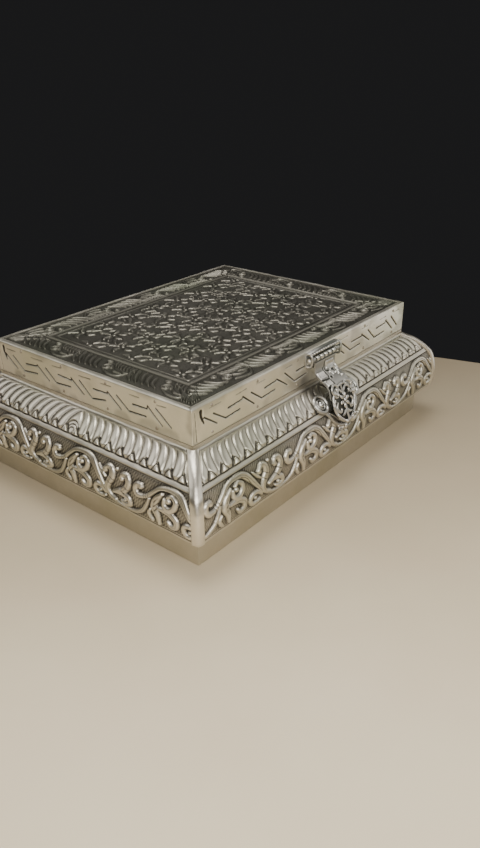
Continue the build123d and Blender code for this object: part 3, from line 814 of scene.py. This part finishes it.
def make_panel(name, relief, side, deep, order):
    """A sheet on the lid's top, whose rows are at distances deep from the middle toward a side."""
    surface = on_side(side, relief.u, deep, LID_TOP - PANEL_SUNK + relief.h)[::order]
    back = surface.copy()
    back[..., 2] = LID_TOP - SHEET
    made = sheet_solid(name, surface, back, relief.tone(cavity=1.1)[::order])
    finish_piece(made, "lid", "patina_and_painted_shade", "oxidised_metal", "lid_top_sheet")


def make_lid_border(side):
    """One mitred strip of the lid's border, with the raised line along its inner edge."""
    half, deep = LAYOUT[side]["panel"]
    relief = Relief(lambda v: half - v, (0.0, FRAME_IN), BORDER_QUADS)
    emboss_border(relief, half)
    relief.swell(across(2 * half, FRAME_MIDDLE), [FRAME_HALF, FRAME_HALF], 0.85, base=0.1, power=0.5)
    weather(relief, BORDER_GROUND)
    # Painted shade over the whole left strip of the border
    if side == "left":
        relief.darken(LEFT_PAINTED_SHADE)
    relief.cut(across(2 * half, 0.7), [0.5, 0.5], 0.2, 0.9)
    relief.h *= between(relief.v, 0.0, FRAME_IN, 0.5, 0.5)
    make_panel(f"lid_border_{side}", relief, side, deep - relief.v, -1)


def flower(relief, u, v, size, turn):
    """A small open flower: a bud and its plump separate petals."""
    relief.knob((u, v), 0.17 * size, 0.35)
    for k in range(PETALS):
        angle = turn + k * 2 * math.pi / PETALS
        c, d = size * math.cos(angle), size * math.sin(angle)
        middle = (u + 0.66 * c - 0.14 * d, v + 0.66 * d + 0.14 * c)
        leaflet(relief, [(u + 0.30 * c, v + 0.30 * d), middle, (u + c, v + d)], 0.2 * size, 0.42)


def loose_leaf(relief, u, v, k):
    """The k-th short leaf of a scattered row about a place."""
    a, b = u + 3.1 * (-1) ** k, v + 2.7 * (k - 2)
    lean = RNG.uniform(-0.8, 0.8) + 1.1 * (k % 2)
    c, d = 2.7 * math.cos(lean), 2.7 * math.sin(lean)
    leaflet(relief, [(a - c, b - d), (a + 0.3 * d, b - 0.3 * c), (a + c, b + d)], 1.25, 0.36)


def make_lid_field():
    """The lid's middle: flowers in staggered rows with loose leaves between them, inside a fine line."""
    half_x, half_y = PANEL_X - FRAME_IN, PANEL_Y - FRAME_IN
    relief = Relief(lambda v: half_x, (-half_y, half_y), SIDE_QUADS)
    wide, tall = 2 * half_x / FIELD_COLUMNS, 2 * half_y / FIELD_ROWS
    for j in range(FIELD_ROWS):
        for i in range(FIELD_COLUMNS):
            shift = RNG.uniform(-1.5, 1.5, 2)
            u = -half_x + (i + 0.5 + 0.25 * (-1) ** j) * wide + shift[0]
            v = -half_y + (j + 0.5) * tall + shift[1]
            flower(relief, u, v, 8.2 + 0.8 * RNG.random(), 6.3 * RNG.random())
            for k in range(LOOSE_LEAVES):
                loose_leaf(relief, u + 0.5 * wide, v + 0.42 * tall, k)
    rim = np.minimum(half_x - np.abs(relief.u), half_y - np.abs(relief.v))
    relief.h *= ease(rim, 1.6, 3.0)
    x, y = half_x - 1.5, half_y - 1.5
    corners = [(-x, -y), (x, -y), (x, y), (-x, y)]
    for a, b in zip(corners, corners[1:] + corners[:1]):
        relief.swell([a, b], [0.36, 0.36], 0.35)
    weather(relief, FIELD_GROUND)
    relief.h *= ease(rim, 0.0, 0.5)
    make_panel("lid_field", relief, "front", relief.v, 1)


for side in SIDES:
    make_lid_border(side)
make_lid_field()


# --- corner straps
STRAP_HALF = 4.3
STRAP_FOLD = 1.5
STRAP_PROUD = 1.3
STRAP_FOOT = FRIEZE[1] + 1.2
STRAP_SMOOTH = 3
STRAP_GRID = (37, 150)
CORNERS = {"front_left": (-1, -1), "front_right": (1, -1), "back_right": (1, 1), "back_left": (-1, 1)}


def make_strap(corner, sx, sy):
    """A polished strip folded round the bulged corner from the groove to just below the frieze."""
    t = np.linspace(-STRAP_HALF, STRAP_HALF, STRAP_GRID[0])
    t, v = np.meshgrid(t, np.linspace(OUTLINE_V[0] + 0.3, STRAP_FOOT, STRAP_GRID[1]))
    out, z, nout, nz = (blur(field, STRAP_SMOOTH) for field in on_outline(v))
    bent = np.hypot(t, STRAP_FOLD)
    turn = (1 + t / bent) * math.pi / 4
    normal = np.stack([sx * nout * np.cos(turn), sy * nout * np.sin(turn), nz], -1)
    normal /= np.linalg.norm(normal, axis=-1, keepdims=True)
    base = np.stack([sx * (HALF_X + out - (bent + t) / 2), sy * (HALF_Y + out - (bent - t) / 2), z], -1)
    edge = STRAP_HALF - np.abs(t)
    dents = waves(t.shape, 4, 8.0)
    proud = STRAP_PROUD - 1.1 * (1 - ease(edge, 0.0, 1.2)) + 0.05 * dents * ease(edge, 0.3, 1.5)
    surface = base + proud[..., None] * normal
    back = base - 0.1 * normal
    tone = np.clip(0.35 + ease(edge, 0.1, 1.0) + 0.12 * dents, 0, 1)
    order = -sx * sy
    fields = [field[::-1, ::order] for field in (surface, back, tone)]
    finish_piece(sheet_solid(f"strap_{corner}", *fields), "box", "polished", "polished_metal",
                 f"corner_strap_{corner}")


for corner, hands in CORNERS.items():
    make_strap(corner, *hands)


# --- soft linings
PAD_STEP = 2.2


def make_pad(name, node, body, cloth, axis, toward, puff):
    """A cloth panel in a node's box: its face along an axis is puffed, creased and rounded at the edges."""
    low, high = node_box(node)
    wide, up = [k for k in range(3) if k != axis]
    spans = high - low
    counts = [max(8, int(spans[k] / PAD_STEP)) for k in (wide, up)]
    a, b = np.meshgrid(np.linspace(0, 1, counts[0]), np.linspace(0, 1, counts[1]))
    edge = np.minimum(np.minimum(a, 1 - a) * spans[wide], np.minimum(b, 1 - b) * spans[up])
    height = puff * ease(edge, 0.0, 14.0) + 0.06 * waves(a.shape, 3, 10.0) * ease(edge, 1.0, 6.0)
    height -= 0.55 * spans[axis] * (1 - ease(edge, 0.0, 1.6))
    front, behind = (high[axis], low[axis]) if toward > 0 else (low[axis], high[axis])
    surface = np.zeros((*a.shape, 3))
    surface[..., wide] = low[wide] + a * spans[wide]
    surface[..., up] = low[up] + b * spans[up]
    back = surface.copy()
    surface[..., axis] = front + toward * height
    back[..., axis] = behind
    order = -1 if (toward > 0) == (axis == 1) else 1
    made = sheet_solid(name, surface[:, ::order], back[:, ::order], np.ones(a.shape))
    return finish_piece(made, body, cloth, cloth, node)


for side, (nx, ny) in SIDES.items():
    axis, toward = (0, -nx) if nx else (1, -ny)
    panel = make_pad(f"velvet_wall_{side}", f"lining_{side}", "box", "velvet", axis, toward, 0.35)
make_pad("velvet_floor", "lining_floor", "box", "velvet", 2, 1, 0.5)
make_pad("velvet_lid", "lid_pad", "lid", "velvet", 2, -1, 0.3)
felt = make_pad("felt_base", "base_felt", "box", "felt", 2, -1, 0.0)


# --- clasp
def belt(first, second, count):
    """Faces between two rings of count points that start at two indices."""
    return [[first + k, first + (k + 1) % count, second + (k + 1) % count, second + k] for k in range(count)]


ROD_SQUEEZE = 0.7  # thickness of a flattened rod over its width
SHARP = math.radians(48)


class Casting:
    """Rods, beads and plates gathered into one piece, each with its own tone."""

    def __init__(self):
        self.points, self.faces, self.tones = [], [], []

    def add(self, points, faces, tone):
        """Takes in points, and faces whose indices count from the first of them."""
        first = len(self.points)
        self.points += np.asarray(points, float).tolist()
        self.faces += [[i + first for i in face] for face in faces]
        self.tones += np.broadcast_to(tone, len(points)).tolist()

    def rod(self, path, radii, tone=1.0, closed=False, sides=10, flat=None):
        """A round rod along a path, or one that is flattened along the normal that flat gives."""
        path = np.asarray(path, float)
        radii = spread(radii, len(path))[:, None, None]
        ahead = np.roll(path, -1, 0) if closed else np.concatenate([path[1:], path[-1:]])
        before = np.roll(path, 1, 0) if closed else np.concatenate([path[:1], path[:-1]])
        run = (ahead - before) / np.linalg.norm(ahead - before, axis=1, keepdims=True)
        side = np.cross(run, (0.13, 0.29, 0.95) if flat is None else flat)
        side /= np.linalg.norm(side, axis=1, keepdims=True)
        top = np.cross(side, run) * (1.0 if flat is None else ROD_SQUEEZE)
        angles = np.linspace(0, 2 * math.pi, sides, endpoint=False)
        turned = np.cos(angles)[:, None] * side[:, None] + np.sin(angles)[:, None] * top[:, None]
        n = len(path)
        faces = []
        for i in range(n if closed else n - 1):
            faces += belt(i * sides, (i + 1) % n * sides, sides)
        if not closed:
            faces += [list(range(sides))[::-1], list(range((n - 1) * sides, n * sides))]
        shade = tone * (0.55 + 0.45 * np.clip(np.sin(angles), 0, 1))
        self.add((path[:, None] + radii * turned).reshape(-1, 3), faces, np.tile(shade, n))

    def lay(self, surface, points, radii, lift, tone=1.0, closed=False, flat=None):
        """A rod over a surface that maps (across, along, lift) to a point."""
        curve, _ = smooth([*points, points[0]] if closed else points, spacing=0.5)
        path = [surface(a, b, lift) for a, b in (curve[:-1] if closed else curve)]
        self.rod(path, radii, tone, closed, flat=flat)

    def bead(self, centre, radius, squash=(1, 1, 1), axes=None, rings=7, sides=12):
        """A bright ellipsoid, which squash scales along its axes."""
        tilts = math.pi * np.arange(1, rings) / rings
        turns = 2 * math.pi * np.arange(sides) / sides
        tilt, turn = np.meshgrid(tilts, turns, indexing="ij")
        ball = np.stack([np.sin(tilt) * np.cos(turn), np.sin(tilt) * np.sin(turn), np.cos(tilt)], -1)
        points = np.concatenate([[(0, 0, 1)], ball.reshape(-1, 3), [(0, 0, -1)]]) * squash * radius
        last = 1 + (rings - 2) * sides
        faces = []
        for k in range(sides):
            after = (k + 1) % sides
            faces += [[0, 1 + k, 1 + after], [last + sides, last + after, last + k]]
        for i in range(rings - 2):
            faces += belt(1 + (i + 1) * sides, 1 + i * sides, sides)
        self.add(np.asarray(centre) + points @ (np.eye(3) if axes is None else np.array(axes)), faces, 1.0)

    def plate(self, outline, surface, low, high, tone, bevel=0.18):
        """A plate with a softened edge, from its outline on a surface that maps (a, b, lift) to a point."""
        ring = np.array(outline, float)
        inward = np.roll(ring, -1, 0) - np.roll(ring, 1, 0)
        inward = np.stack([-inward[:, 1], inward[:, 0]], -1)
        inward /= np.linalg.norm(inward, axis=1, keepdims=True)
        levels = [(0.0, low), (0.0, high - bevel), (bevel, high)]
        points = [surface(*place, lift) for inset, lift in levels for place in ring + inset * inward]
        n = len(ring)
        faces = [list(range(n))[::-1], list(range(2 * n, 3 * n)), *belt(0, n, n), *belt(n, 2 * n, n)]
        self.add(points, faces, tone)

    def finish(self, name, body, node):
        """The gathered piece, in the place of a CAD node."""
        made = make_mesh(name, self.points, self.faces, len(self.faces), self.tones)
        made.data.set_sharp_from_angle(angle=SHARP)
        finish_piece(made, body, "clasp", "clasp_metal", node)


def at_clasp(a, out, z):
    """A point by its distance right of the clasp's middle, its distance out and its height."""
    return np.array((CLASP_X + a, -HALF_Y - out, z))


def lid_face(a, b, lift):
    """A point over the lid's front face by its place across, its height and its lift."""
    return at_clasp(a, lift, b)


def level(reach, out, z, count):
    """Points of a level line that reaches as far to both sides of the clasp's middle."""
    return [at_clasp(a, out, z) for a in np.linspace(-reach, reach, count)]


def rectangle(low_a, high_a, low_b, high_b, clip):
    """Outline of a rectangle with clipped corners, counter-clockwise."""
    return [(low_a + clip, low_b), (high_a - clip, low_b), (high_a, low_b + clip), (high_a, high_b - clip),
            (high_a - clip, high_b), (low_a + clip, high_b), (low_a, high_b - clip), (low_a, low_b + clip)]


LEDGE_OUT = 3.4
HOUSING_BEADS = 13
EAR_FROM = 10.5  # where the ears begin, beside the hasp's barrel


def make_bracket():
    """The clasp's knuckle housing on the lid: back plate, top ledge with a bead row, cheeks and ears."""
    wide = (BRACKET[1][0] - BRACKET[0][0]) / 2
    foot, head = BRACKET[0][2], BRACKET[1][2]
    casting = Casting()
    casting.plate(rectangle(-wide, wide, foot, head, 1.2), lid_face, 0.0, 0.8, 0.45)
    casting.rod(level(wide - 0.4, LEDGE_OUT, head - 0.5, 9), [0.75])
    ledge = rectangle(-wide + 0.3, wide - 0.3, 0.0, LEDGE_OUT, 0.4)
    casting.plate(ledge, at_clasp, head - 0.9, head - 0.1, 0.7)
    casting.rod(level(wide - 0.5, 0.9, foot + 0.6, 9), [0.7])
    for place in level(wide - 1.2, LEDGE_OUT + 0.35, head - 0.35, HOUSING_BEADS):
        casting.bead(place, 0.62)
    cheek = [(0.8, foot + 0.8), (3.4, foot + 1.4), (4.4, AXIS_Z), (3.8, head - 1.2), (2.4, head - 0.3)]
    for hand in (-1, 1):
        path, _ = smooth([at_clasp(hand * (wide - 0.7), out, z) for out, z in cheek], spacing=0.5)
        casting.rod(path, [0.7, 0.75, 0.7])
        ear = [at_clasp(hand * t, AXIS_OUT, AXIS_Z) for t in np.linspace(EAR_FROM, wide - 0.2, 5)]
        casting.rod(ear, [1.45, 1.5], 0.9, sides=18)
        casting.bead(at_clasp(hand * (wide - 0.1), AXIS_OUT, AXIS_Z), 1.1)
        casting.bead(at_clasp(hand * (wide - 1.6), 0.9, foot + 2.6), 0.8, squash=(1, 0.6, 1))
    casting.finish("clasp_housing", "lid", "clasp_bracket")


# The medallion's face: its half width, its lean, its half length up the slope and its middle as (out, height)
MEDAL_WIDE = (MEDAL[1][0] - MEDAL[0][0]) / 2
MEDAL_HIGH_OUT, MEDAL_LOW_OUT = -HALF_Y - MEDAL[1][1], -HALF_Y - MEDAL[0][1]
MEDAL_LEAN = math.atan2(MEDAL_LOW_OUT - MEDAL_HIGH_OUT - 1.0, MEDAL[1][2] - MEDAL[0][2])
MEDAL_TALL = (MEDAL[1][2] - MEDAL[0][2]) / 2 / math.cos(MEDAL_LEAN)
MEDAL_MIDDLE = ((MEDAL_HIGH_OUT + MEDAL_LOW_OUT) / 2, (MEDAL[0][2] + MEDAL[1][2]) / 2)


def on_medal(a, b, lift=0.0):
    """A point by its distance across, up the slope and out of the medallion's face."""
    out = MEDAL_MIDDLE[0] - b * math.sin(MEDAL_LEAN) + lift * math.cos(MEDAL_LEAN)
    z = MEDAL_MIDDLE[1] + b * math.cos(MEDAL_LEAN) + lift * math.sin(MEDAL_LEAN)
    return at_clasp(a, out, z)


MEDAL_AXES = [on_medal(*step) - on_medal(0, 0) for step in ((1, 0), (0, 1), (0, 0, 1))]
EAR = (-6.6, 9.2)  # the open ring beside the medallion's top
FLOWER = (0.0, 1.2)
# Turns and sizes of the beads on the rim
RIM_BEADS = [(0.35, 0.9), (1.1, 0.75), (2.15, 0.9), (2.9, 0.75), (3.7, 0.85), (4.4, 0.8), (5.1, 0.9),
             (5.8, 0.75)]
# Rods as (points, radii, lift), first those that are on both hands and then the single ones
MEDAL_PAIRS = [
    ([(1.0, 6.2), (3.4, 8.4), (6.4, 7.6), (6.8, 4.8), (4.8, 4.4)], [0.6, 0.8, 0.6], 0.7),
    ([(6.2, 1.6), (7.9, -0.8), (7.0, -3.6), (4.8, -4.2), (4.4, -2.4)], [0.6, 0.85, 0.6], 0.7),
    ([(0.8, -4.4), (2.6, -6.2), (5.0, -6.6)], [0.6, 0.85, 0.4], 0.7),
]
MEDAL_RODS = [
    ([(2.0, 10.2), (5.0, 11.4), (8.2, 9.6), (8.6, 6.6), (6.6, 6.2)], [0.6, 0.85, 0.6], 1.2),
    ([(6.6, 3.4), (9.6, 4.4), (10.4, 1.2), (9.0, -1.6)], [0.5, 0.8, 0.5], 1.1),
    ([(-8.6, 3.8), (-10.2, 0.6), (-9.6, -3.4), (-7.4, -6.8), (-4.0, -9.6)], [0.6, 0.8, 0.7], 1.0),
    ([(0.2, -2.0), (0.0, -5.0), (0.1, -MEDAL_TALL + 1.4)], [0.55, 0.8, 0.7], 0.9),
    ([(0, 4.6), (0.3, 6.6), (0, MEDAL_TALL - 1.2)], [0.5, 0.6, 0.5], 0.6),
]


def make_medallion():
    """The hasp's cast oval: a plain rim, curls and an open flower over dark hollows."""
    casting = Casting()
    wide, tall = MEDAL_WIDE - 0.8, MEDAL_TALL - 0.8
    normal = MEDAL_AXES[2]
    oval = ellipse(0, 0, wide, tall, 40)
    casting.plate(oval, on_medal, -0.55, -0.05, 0.1)
    casting.lay(on_medal, oval, [0.8], 0.45, 0.95, closed=True, flat=normal)
    for turn, size in RIM_BEADS:
        casting.bead(on_medal(wide * math.cos(turn), tall * math.sin(turn), 1.0), size, rings=6, sides=10)
    for k in range(6):
        turn = 2 * math.pi * k / 6 + 0.25
        c, s = math.cos(turn), math.sin(turn)
        axes = [c * MEDAL_AXES[0] + s * MEDAL_AXES[1], -s * MEDAL_AXES[0] + c * MEDAL_AXES[1], normal]
        petal = on_medal(FLOWER[0] + 3.0 * c, FLOWER[1] + 3.0 * s, 0.9)
        casting.bead(petal, 1.7, squash=(1.0, 0.62, 0.5), axes=axes)
    casting.bead(on_medal(*FLOWER, 1.3), 1.2, squash=(1, 1, 0.8), axes=MEDAL_AXES)
    for hand in (-1, 1):
        for points, radii, lift in MEDAL_PAIRS:
            casting.lay(on_medal, [(hand * a, b) for a, b in points], radii, lift, flat=normal)
        for a, b in ((5.2, 5.6), (5.4, -3.0)):
            casting.bead(on_medal(hand * a, b, 1.2), 0.9, sides=10)
    casting.plate(ellipse(*EAR, 2.6, 2.6, 16), on_medal, -0.05, 0.45, 0.05)
    casting.lay(on_medal, ellipse(*EAR, 2.7, 2.7, 16), [0.75], 0.9, closed=True, flat=normal)
    for points, radii, lift in MEDAL_RODS:
        casting.lay(on_medal, points, radii, lift, flat=normal)
    for a, b in ((8.9, 8.3), (10.4, 3.2), (-9.6, -4.6), (6.2, -8.6), (-2.6, -10.6)):
        casting.bead(on_medal(a, b, 1.2), 0.95, sides=10)
    casting.finish("hasp_flower_medallion", "hasp", "hasp_medallion")


LEAF_HALF = (LEAF[1][0] - LEAF[0][0]) / 2
# Ornament of the leaf: u to the right of its middle and v down from its barrel
LEAF_TABS = [(-LEAF_HALF + 0.3, -3.2, 7.8, 12.6), (-LEAF_HALF + 0.8, -4.0, 14.2, 18.2),
             (0.2, LEAF_HALF - 2.0, 3.2, 8.4)]
LEAF_LINES = [
    [(-LEAF_HALF + 0.5, 13.3), (-2.6, 13.3), (-2.5, 6.6)],
    [(-LEAF_HALF + 0.8, 19.0), (-3.4, 19.0), (-3.2, 13.9)],
    [(-0.3, 2.6), (-0.3, 9.1), (LEAF_HALF - 1.4, 9.1)],
    [(-LEAF_HALF + 0.4, 1.0), (LEAF_HALF - 0.4, 1.0)],
]
LEAF_PITS = [(4.6, 10.6), (-0.6, 13.6), (7.4, 8.8)]
LEAF_CURLS = [[(2.2, 12.6), (2.6, 9.2), (5.6, 8.4), (7.6, 10.6), (6.2, 13.4)],
              [(8.6, 5.8), (8.9, 10.0), (7.0, 13.4)]]
LEAF_KNOBS = [(1.4, 10.6), (3.2, 11.2), (4.9, 12.3), (6.3, 13.8), (7.4, 15.6)]
KNUCKLES = 5


def emboss_leaf(relief):
    """Raised tabs on the leaf, with chased lines, pits, curls and a row of knobs."""
    for low_u, high_u, low_v, high_v in LEAF_TABS:
        inside = between(relief.u, low_u, high_u, 0.4, 0.4) * between(relief.v, low_v, high_v, 0.4, 0.4)
        relief.h = np.maximum(relief.h, 0.7 * inside)
    for points in LEAF_LINES:
        relief.cut(points, [0.55, 0.6], 0.5, 1.0)
    for u, v in LEAF_PITS:
        relief.cut([(u, v), (u + 0.1, v)], [1.1, 1.1], 0.6, 1.0)
    for points in LEAF_CURLS:
        relief.swell(points, [0.6, 0.75, 0.5], 0.8)
    for middle in LEAF_KNOBS:
        relief.knob(middle, 0.95, 0.9)
    relief.darken(0.42 * (1 - ease(relief.h, 0.1, 0.5)))


def make_leaf():
    """The hasp's stamped leaf, which slopes down from its barrel to the medallion."""
    front = [(AXIS_OUT + 0.9, AXIS_Z - 1.0), (AXIS_OUT + 0.95, AXIS_Z - 8.6),
             (MEDAL_HIGH_OUT - 0.1, MEDAL[1][2] - 0.4), (-HALF_Y - LEAF[0][1] - 0.15, LEAF[0][2] + 0.2)]
    path, _ = smooth(front, spacing=0.4)
    travel = lengths(path)
    relief = Relief(lambda v: LEAF_HALF, (0.0, travel[-1]), LEAF_QUADS)
    emboss_leaf(relief)
    out, z = along(path, travel, relief.v)
    slope_out, slope_z = np.gradient(out, axis=0), np.gradient(z, axis=0)
    long = np.hypot(slope_out, slope_z)
    nout, nz = -slope_z / long, slope_out / long

    def lifted(lift):
        return on_side("front", CLASP_X + relief.u, HALF_Y + out + lift * nout, z + lift * nz)

    surface = lifted(0.15 + np.clip(relief.h, -0.3, 0.9))
    plate = sheet_solid("hasp_leaf_plate", surface, lifted(-0.75), relief.tone(cavity=1.0))
    finish_piece(plate, "hasp", "clasp", "clasp_metal", "hasp_leaf")


def make_barrel():
    """The hasp's barrel: a row of round knuckles with thin rings between them."""
    casting = Casting()
    casting.rod(level(LEAF_HALF, AXIS_OUT, AXIS_Z, 21), [1.35], 0.5, sides=18)
    knuckle = 2 * LEAF_HALF / KNUCKLES
    for place in level(LEAF_HALF - knuckle / 2, AXIS_OUT, AXIS_Z, KNUCKLES):
        casting.bead(place, 1.9, squash=(0.86, 1, 1), rings=12, sides=18)
    for a in np.clip(np.linspace(-LEAF_HALF, LEAF_HALF, KNUCKLES + 1), 0.2 - LEAF_HALF, LEAF_HALF - 0.2):
        ring = [at_clasp(a, out, z) for out, z in ellipse(AXIS_OUT, AXIS_Z, 1.5, 1.5, 16)]
        casting.rod(ring, [0.32], 0.8, closed=True, sides=6)
    casting.finish("hasp_barrel", "hasp", "hasp_leaf")


EYELET_U = (CROWN[1][0] - CROWN[0][0]) / 2 - 2.4
EYELET_V = float(np.interp(-(CROWN[0][2] + CROWN[1][2]) / 2, -OUTLINE[:, 1], OUTLINE_V)) - 0.6


def on_plate(u, down, lift):
    """A point over the front cladding by its place right of the clasp's middle and below the eyelets."""
    out, z, nout, nz = (float(field) for field in on_outline(np.array(EYELET_V + down)))
    return at_clasp(u, out + lift * nout, z + lift * nz)


# Rods of the body plate on both hands, as (points, radii, lift), and beads as (right, down, radius)
PLATE_RODS = [
    ([(EYELET_U + 0.6, 4.2), (13.6, 7.6), (10.0, 12.4), (5.0, 15.6), (0, 16.6)], [0.9, 1.2, 1.1, 0.9], 1.0),
    ([(12.6, 2.0), (9.0, 4.6), (6.4, 3.0)], [0.8, 0.9, 0.6], 0.7),
    ([(12.0, 6.6), (8.6, 8.8), (5.4, 12.4)], [0.6, 0.9, 0.6], 0.6),
    ([(10.4, -1.6), (7.0, -3.4), (3.4, -3.6)], [0.8, 0.8, 0.6], 0.6),
    ([(3.0, 14.4), (5.6, 18.2), (2.4, 19.2)], [0.6, 0.9, 0.5], 0.6),
]
PLATE_BEADS = [(11.4, 11.0, 1.0), (7.2, 15.4, 0.9), (14.3, 5.4, 0.9)]


def make_body_plate():
    """The clasp's plate on the body: two eyelets joined by a scrolled crescent under the medallion."""
    casting = Casting()
    for hand in (-1, 1):
        u = hand * EYELET_U
        disc = ellipse(0, 0, 4.8, 4.8, 24)
        casting.plate(disc, lambda a, b, lift: on_plate(u + a, -b, lift), 0.1, 1.1, 0.0)
        casting.lay(on_plate, ellipse(u, 0, 4.7, 4.7, 24), [1.15], 1.5, closed=True)
        casting.lay(on_plate, ellipse(u, 0, 2.7, 2.7, 16), [0.45], 1.5, closed=True)
        for points, radii, lift in PLATE_RODS:
            casting.lay(on_plate, [(hand * a, b) for a, b in points], radii, lift)
        for a, b, radius in PLATE_BEADS:
            casting.bead(on_plate(hand * a, b, 1.2), radius)
    casting.bead(on_plate(0, 18.0, 1.2), 1.6, squash=(0.8, 0.8, 1.2))
    casting.finish("clasp_scroll_plate", "box", "clasp_plate")


def make_clasp_nails():
    """Two bright domed nails in the eyelets."""
    casting = Casting()
    for hand in (-1, 1):
        middle = on_plate(hand * EYELET_U, 0.0, 1.5)
        outward = on_plate(hand * EYELET_U, 0.0, 2.5) - middle
        axes = [MEDAL_AXES[0], np.cross(outward, MEDAL_AXES[0]), outward]
        casting.bead(middle, 2.0, squash=(1, 1, 0.75), axes=axes, rings=14, sides=20)
    casting.finish("clasp_dome_nails", "box", "clasp_nails")


make_bracket()
make_medallion()
make_leaf()
make_barrel()
make_body_plate()
make_clasp_nails()


# --- CAD nodes that stay
KEPT = {
    "wood": ("base_board", "plinth_rail_", "wall_", "moulding_", "lid_board"),
    "plain": ("plinth_band",),
    "rim": ("rim_sheet",),
    "hinge": ("hinge_", "clasp_pin", "clasp_staple"),
    "nail": ("lid_nails",),
}
for name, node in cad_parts.items():
    for material, starts in KEPT.items():
        if name.startswith(starts):
            node.data.materials.clear()
            node.data.materials.append(MATERIALS[material])


# --- floor, light and camera
TABLE_RADIUS = 700.0
TABLE_MIDDLE = (-459.0, -262.0)
PAINTED_FALLOFF_WAY = (0.70, 0.68, 0.0)  # the way along which the table's painted light falloff darkens it
PAINTED_FALLOFF_STOPS = [(0.20, WHITE), (0.30, (0.86, 0.855, 0.84)), (0.38, (0.67, 0.655, 0.63)),
                (0.45, (0.54, 0.52, 0.495)), (0.66, (0.24, 0.225, 0.205))]
SURROUND = (0.014, 0.014, 0.0145, 1.0)
CAMERA_PLACE = (-318.9, -283.2, 224.4)
CAMERA_YAW, CAMERA_PITCH, CAMERA_ROLL = math.radians(50.60), math.radians(27.14), math.radians(0.586)
LENS = 31.08
SENSOR = 36.0


def make_floor():
    """A round pale table top with a painted light falloff that darkens it toward the back."""
    ring = [(x, y, 0.0) for x, y in ellipse(*TABLE_MIDDLE, TABLE_RADIUS, TABLE_RADIUS, 240)]
    made = make_mesh("floor", ring, [list(range(len(ring)))], 0)
    paint = Paint("floor")
    mottled = paint.ramp(paint.noise(9.0, 4.0, 0.55), (0.3, (0.86, 0.75, 0.555)), (0.75, (0.94, 0.84, 0.64)))
    # Painted light falloff: the table's colour darkens along one way
    slant = paint.node("VectorMath")
    slant.operation = "DOT_PRODUCT"
    paint.feed(slant.inputs[0], paint.node("TexCoord").outputs["Object"])
    paint.feed(slant.inputs[1], PAINTED_FALLOFF_WAY)
    shade = paint.ramp(paint.math("ADD", slant.outputs["Value"], 0.5), *PAINTED_FALLOFF_STOPS)
    paint.give("Base Color", paint.blend("MULTIPLY", 1.0, mottled, shade))
    paint.give("Roughness", 0.6)
    made.data.materials.append(paint.material)


def make_world():
    """A dim even surround."""
    world = bpy.data.worlds.new("surround")
    world.use_nodes = True
    background = world.node_tree.nodes["Background"]
    background.inputs["Color"].default_value = SURROUND
    background.inputs["Strength"].default_value = 1.0
    bpy.context.scene.world = world


def make_camera():
    """The camera, above the box and off its front left corner."""
    data = bpy.data.cameras.new("camera")
    data.lens = LENS
    data.sensor_width = SENSOR
    data.clip_start, data.clip_end = 0.01, 20.0
    made = add_object("camera", data)
    ahead, down = math.cos(CAMERA_PITCH), math.sin(CAMERA_PITCH)
    forward = Vector((ahead * math.sin(CAMERA_YAW), ahead * math.cos(CAMERA_YAW), -down))
    turn = forward.to_track_quat("-Z", "Y").to_matrix().to_4x4() @ Matrix.Rotation(-CAMERA_ROLL, 4, "Z")
    made.matrix_world = Matrix.Translation(Vector(CAMERA_PLACE) * MM) @ turn
    bpy.context.scene.camera = made


def lamp(name, place, aim, size, power, colour):
    """A soft rectangular lamp that points at a place."""
    light = bpy.data.lights.new(name, "AREA")
    light.shape = "RECTANGLE"
    light.size, light.size_y = size
    light.energy = power
    light.color = colour
    made = add_object(name, light)
    made.location = place
    made.rotation_euler = (Vector(aim) - Vector(place)).to_track_quat("-Z", "Y").to_euler()


make_floor()
make_world()
make_camera()
WARM = (1.0, 0.945, 0.86)
NEUTRAL = (1.0, 0.97, 0.93)
MIDDLE = (0, 0, 0.03)
lamp("key", (-0.42, -0.46, 0.42), (-0.06, -0.06, 0.03), (0.5, 0.4), 3.4, WARM)
lamp("front_fill", (0.0, -0.90, 0.50), MIDDLE, (0.9, 0.5), 1.8, WARM)
lamp("left_back_box", (-0.75, 0.85, 0.95), MIDDLE, (1.1, 0.9), 4.6, WARM)
lamp("right_front_box", (1.05, -0.70, 0.85), MIDDLE, (1.0, 0.8), 3.2, WARM)
lamp("right_card", (0.40, -0.26, 0.03), (0.09, -0.076, 0.06), (0.30, 0.20), 0.22, WARM)
lamp("overhead", (0.02, 0.08, 1.1), (-0.1, -0.1, 0.0), (0.6, 0.6), 7.4, WARM)
lamp("back_fill", (0.75, 0.75, 1.1), (0, 0, 0.0), (0.5, 0.5), 1.2, NEUTRAL)
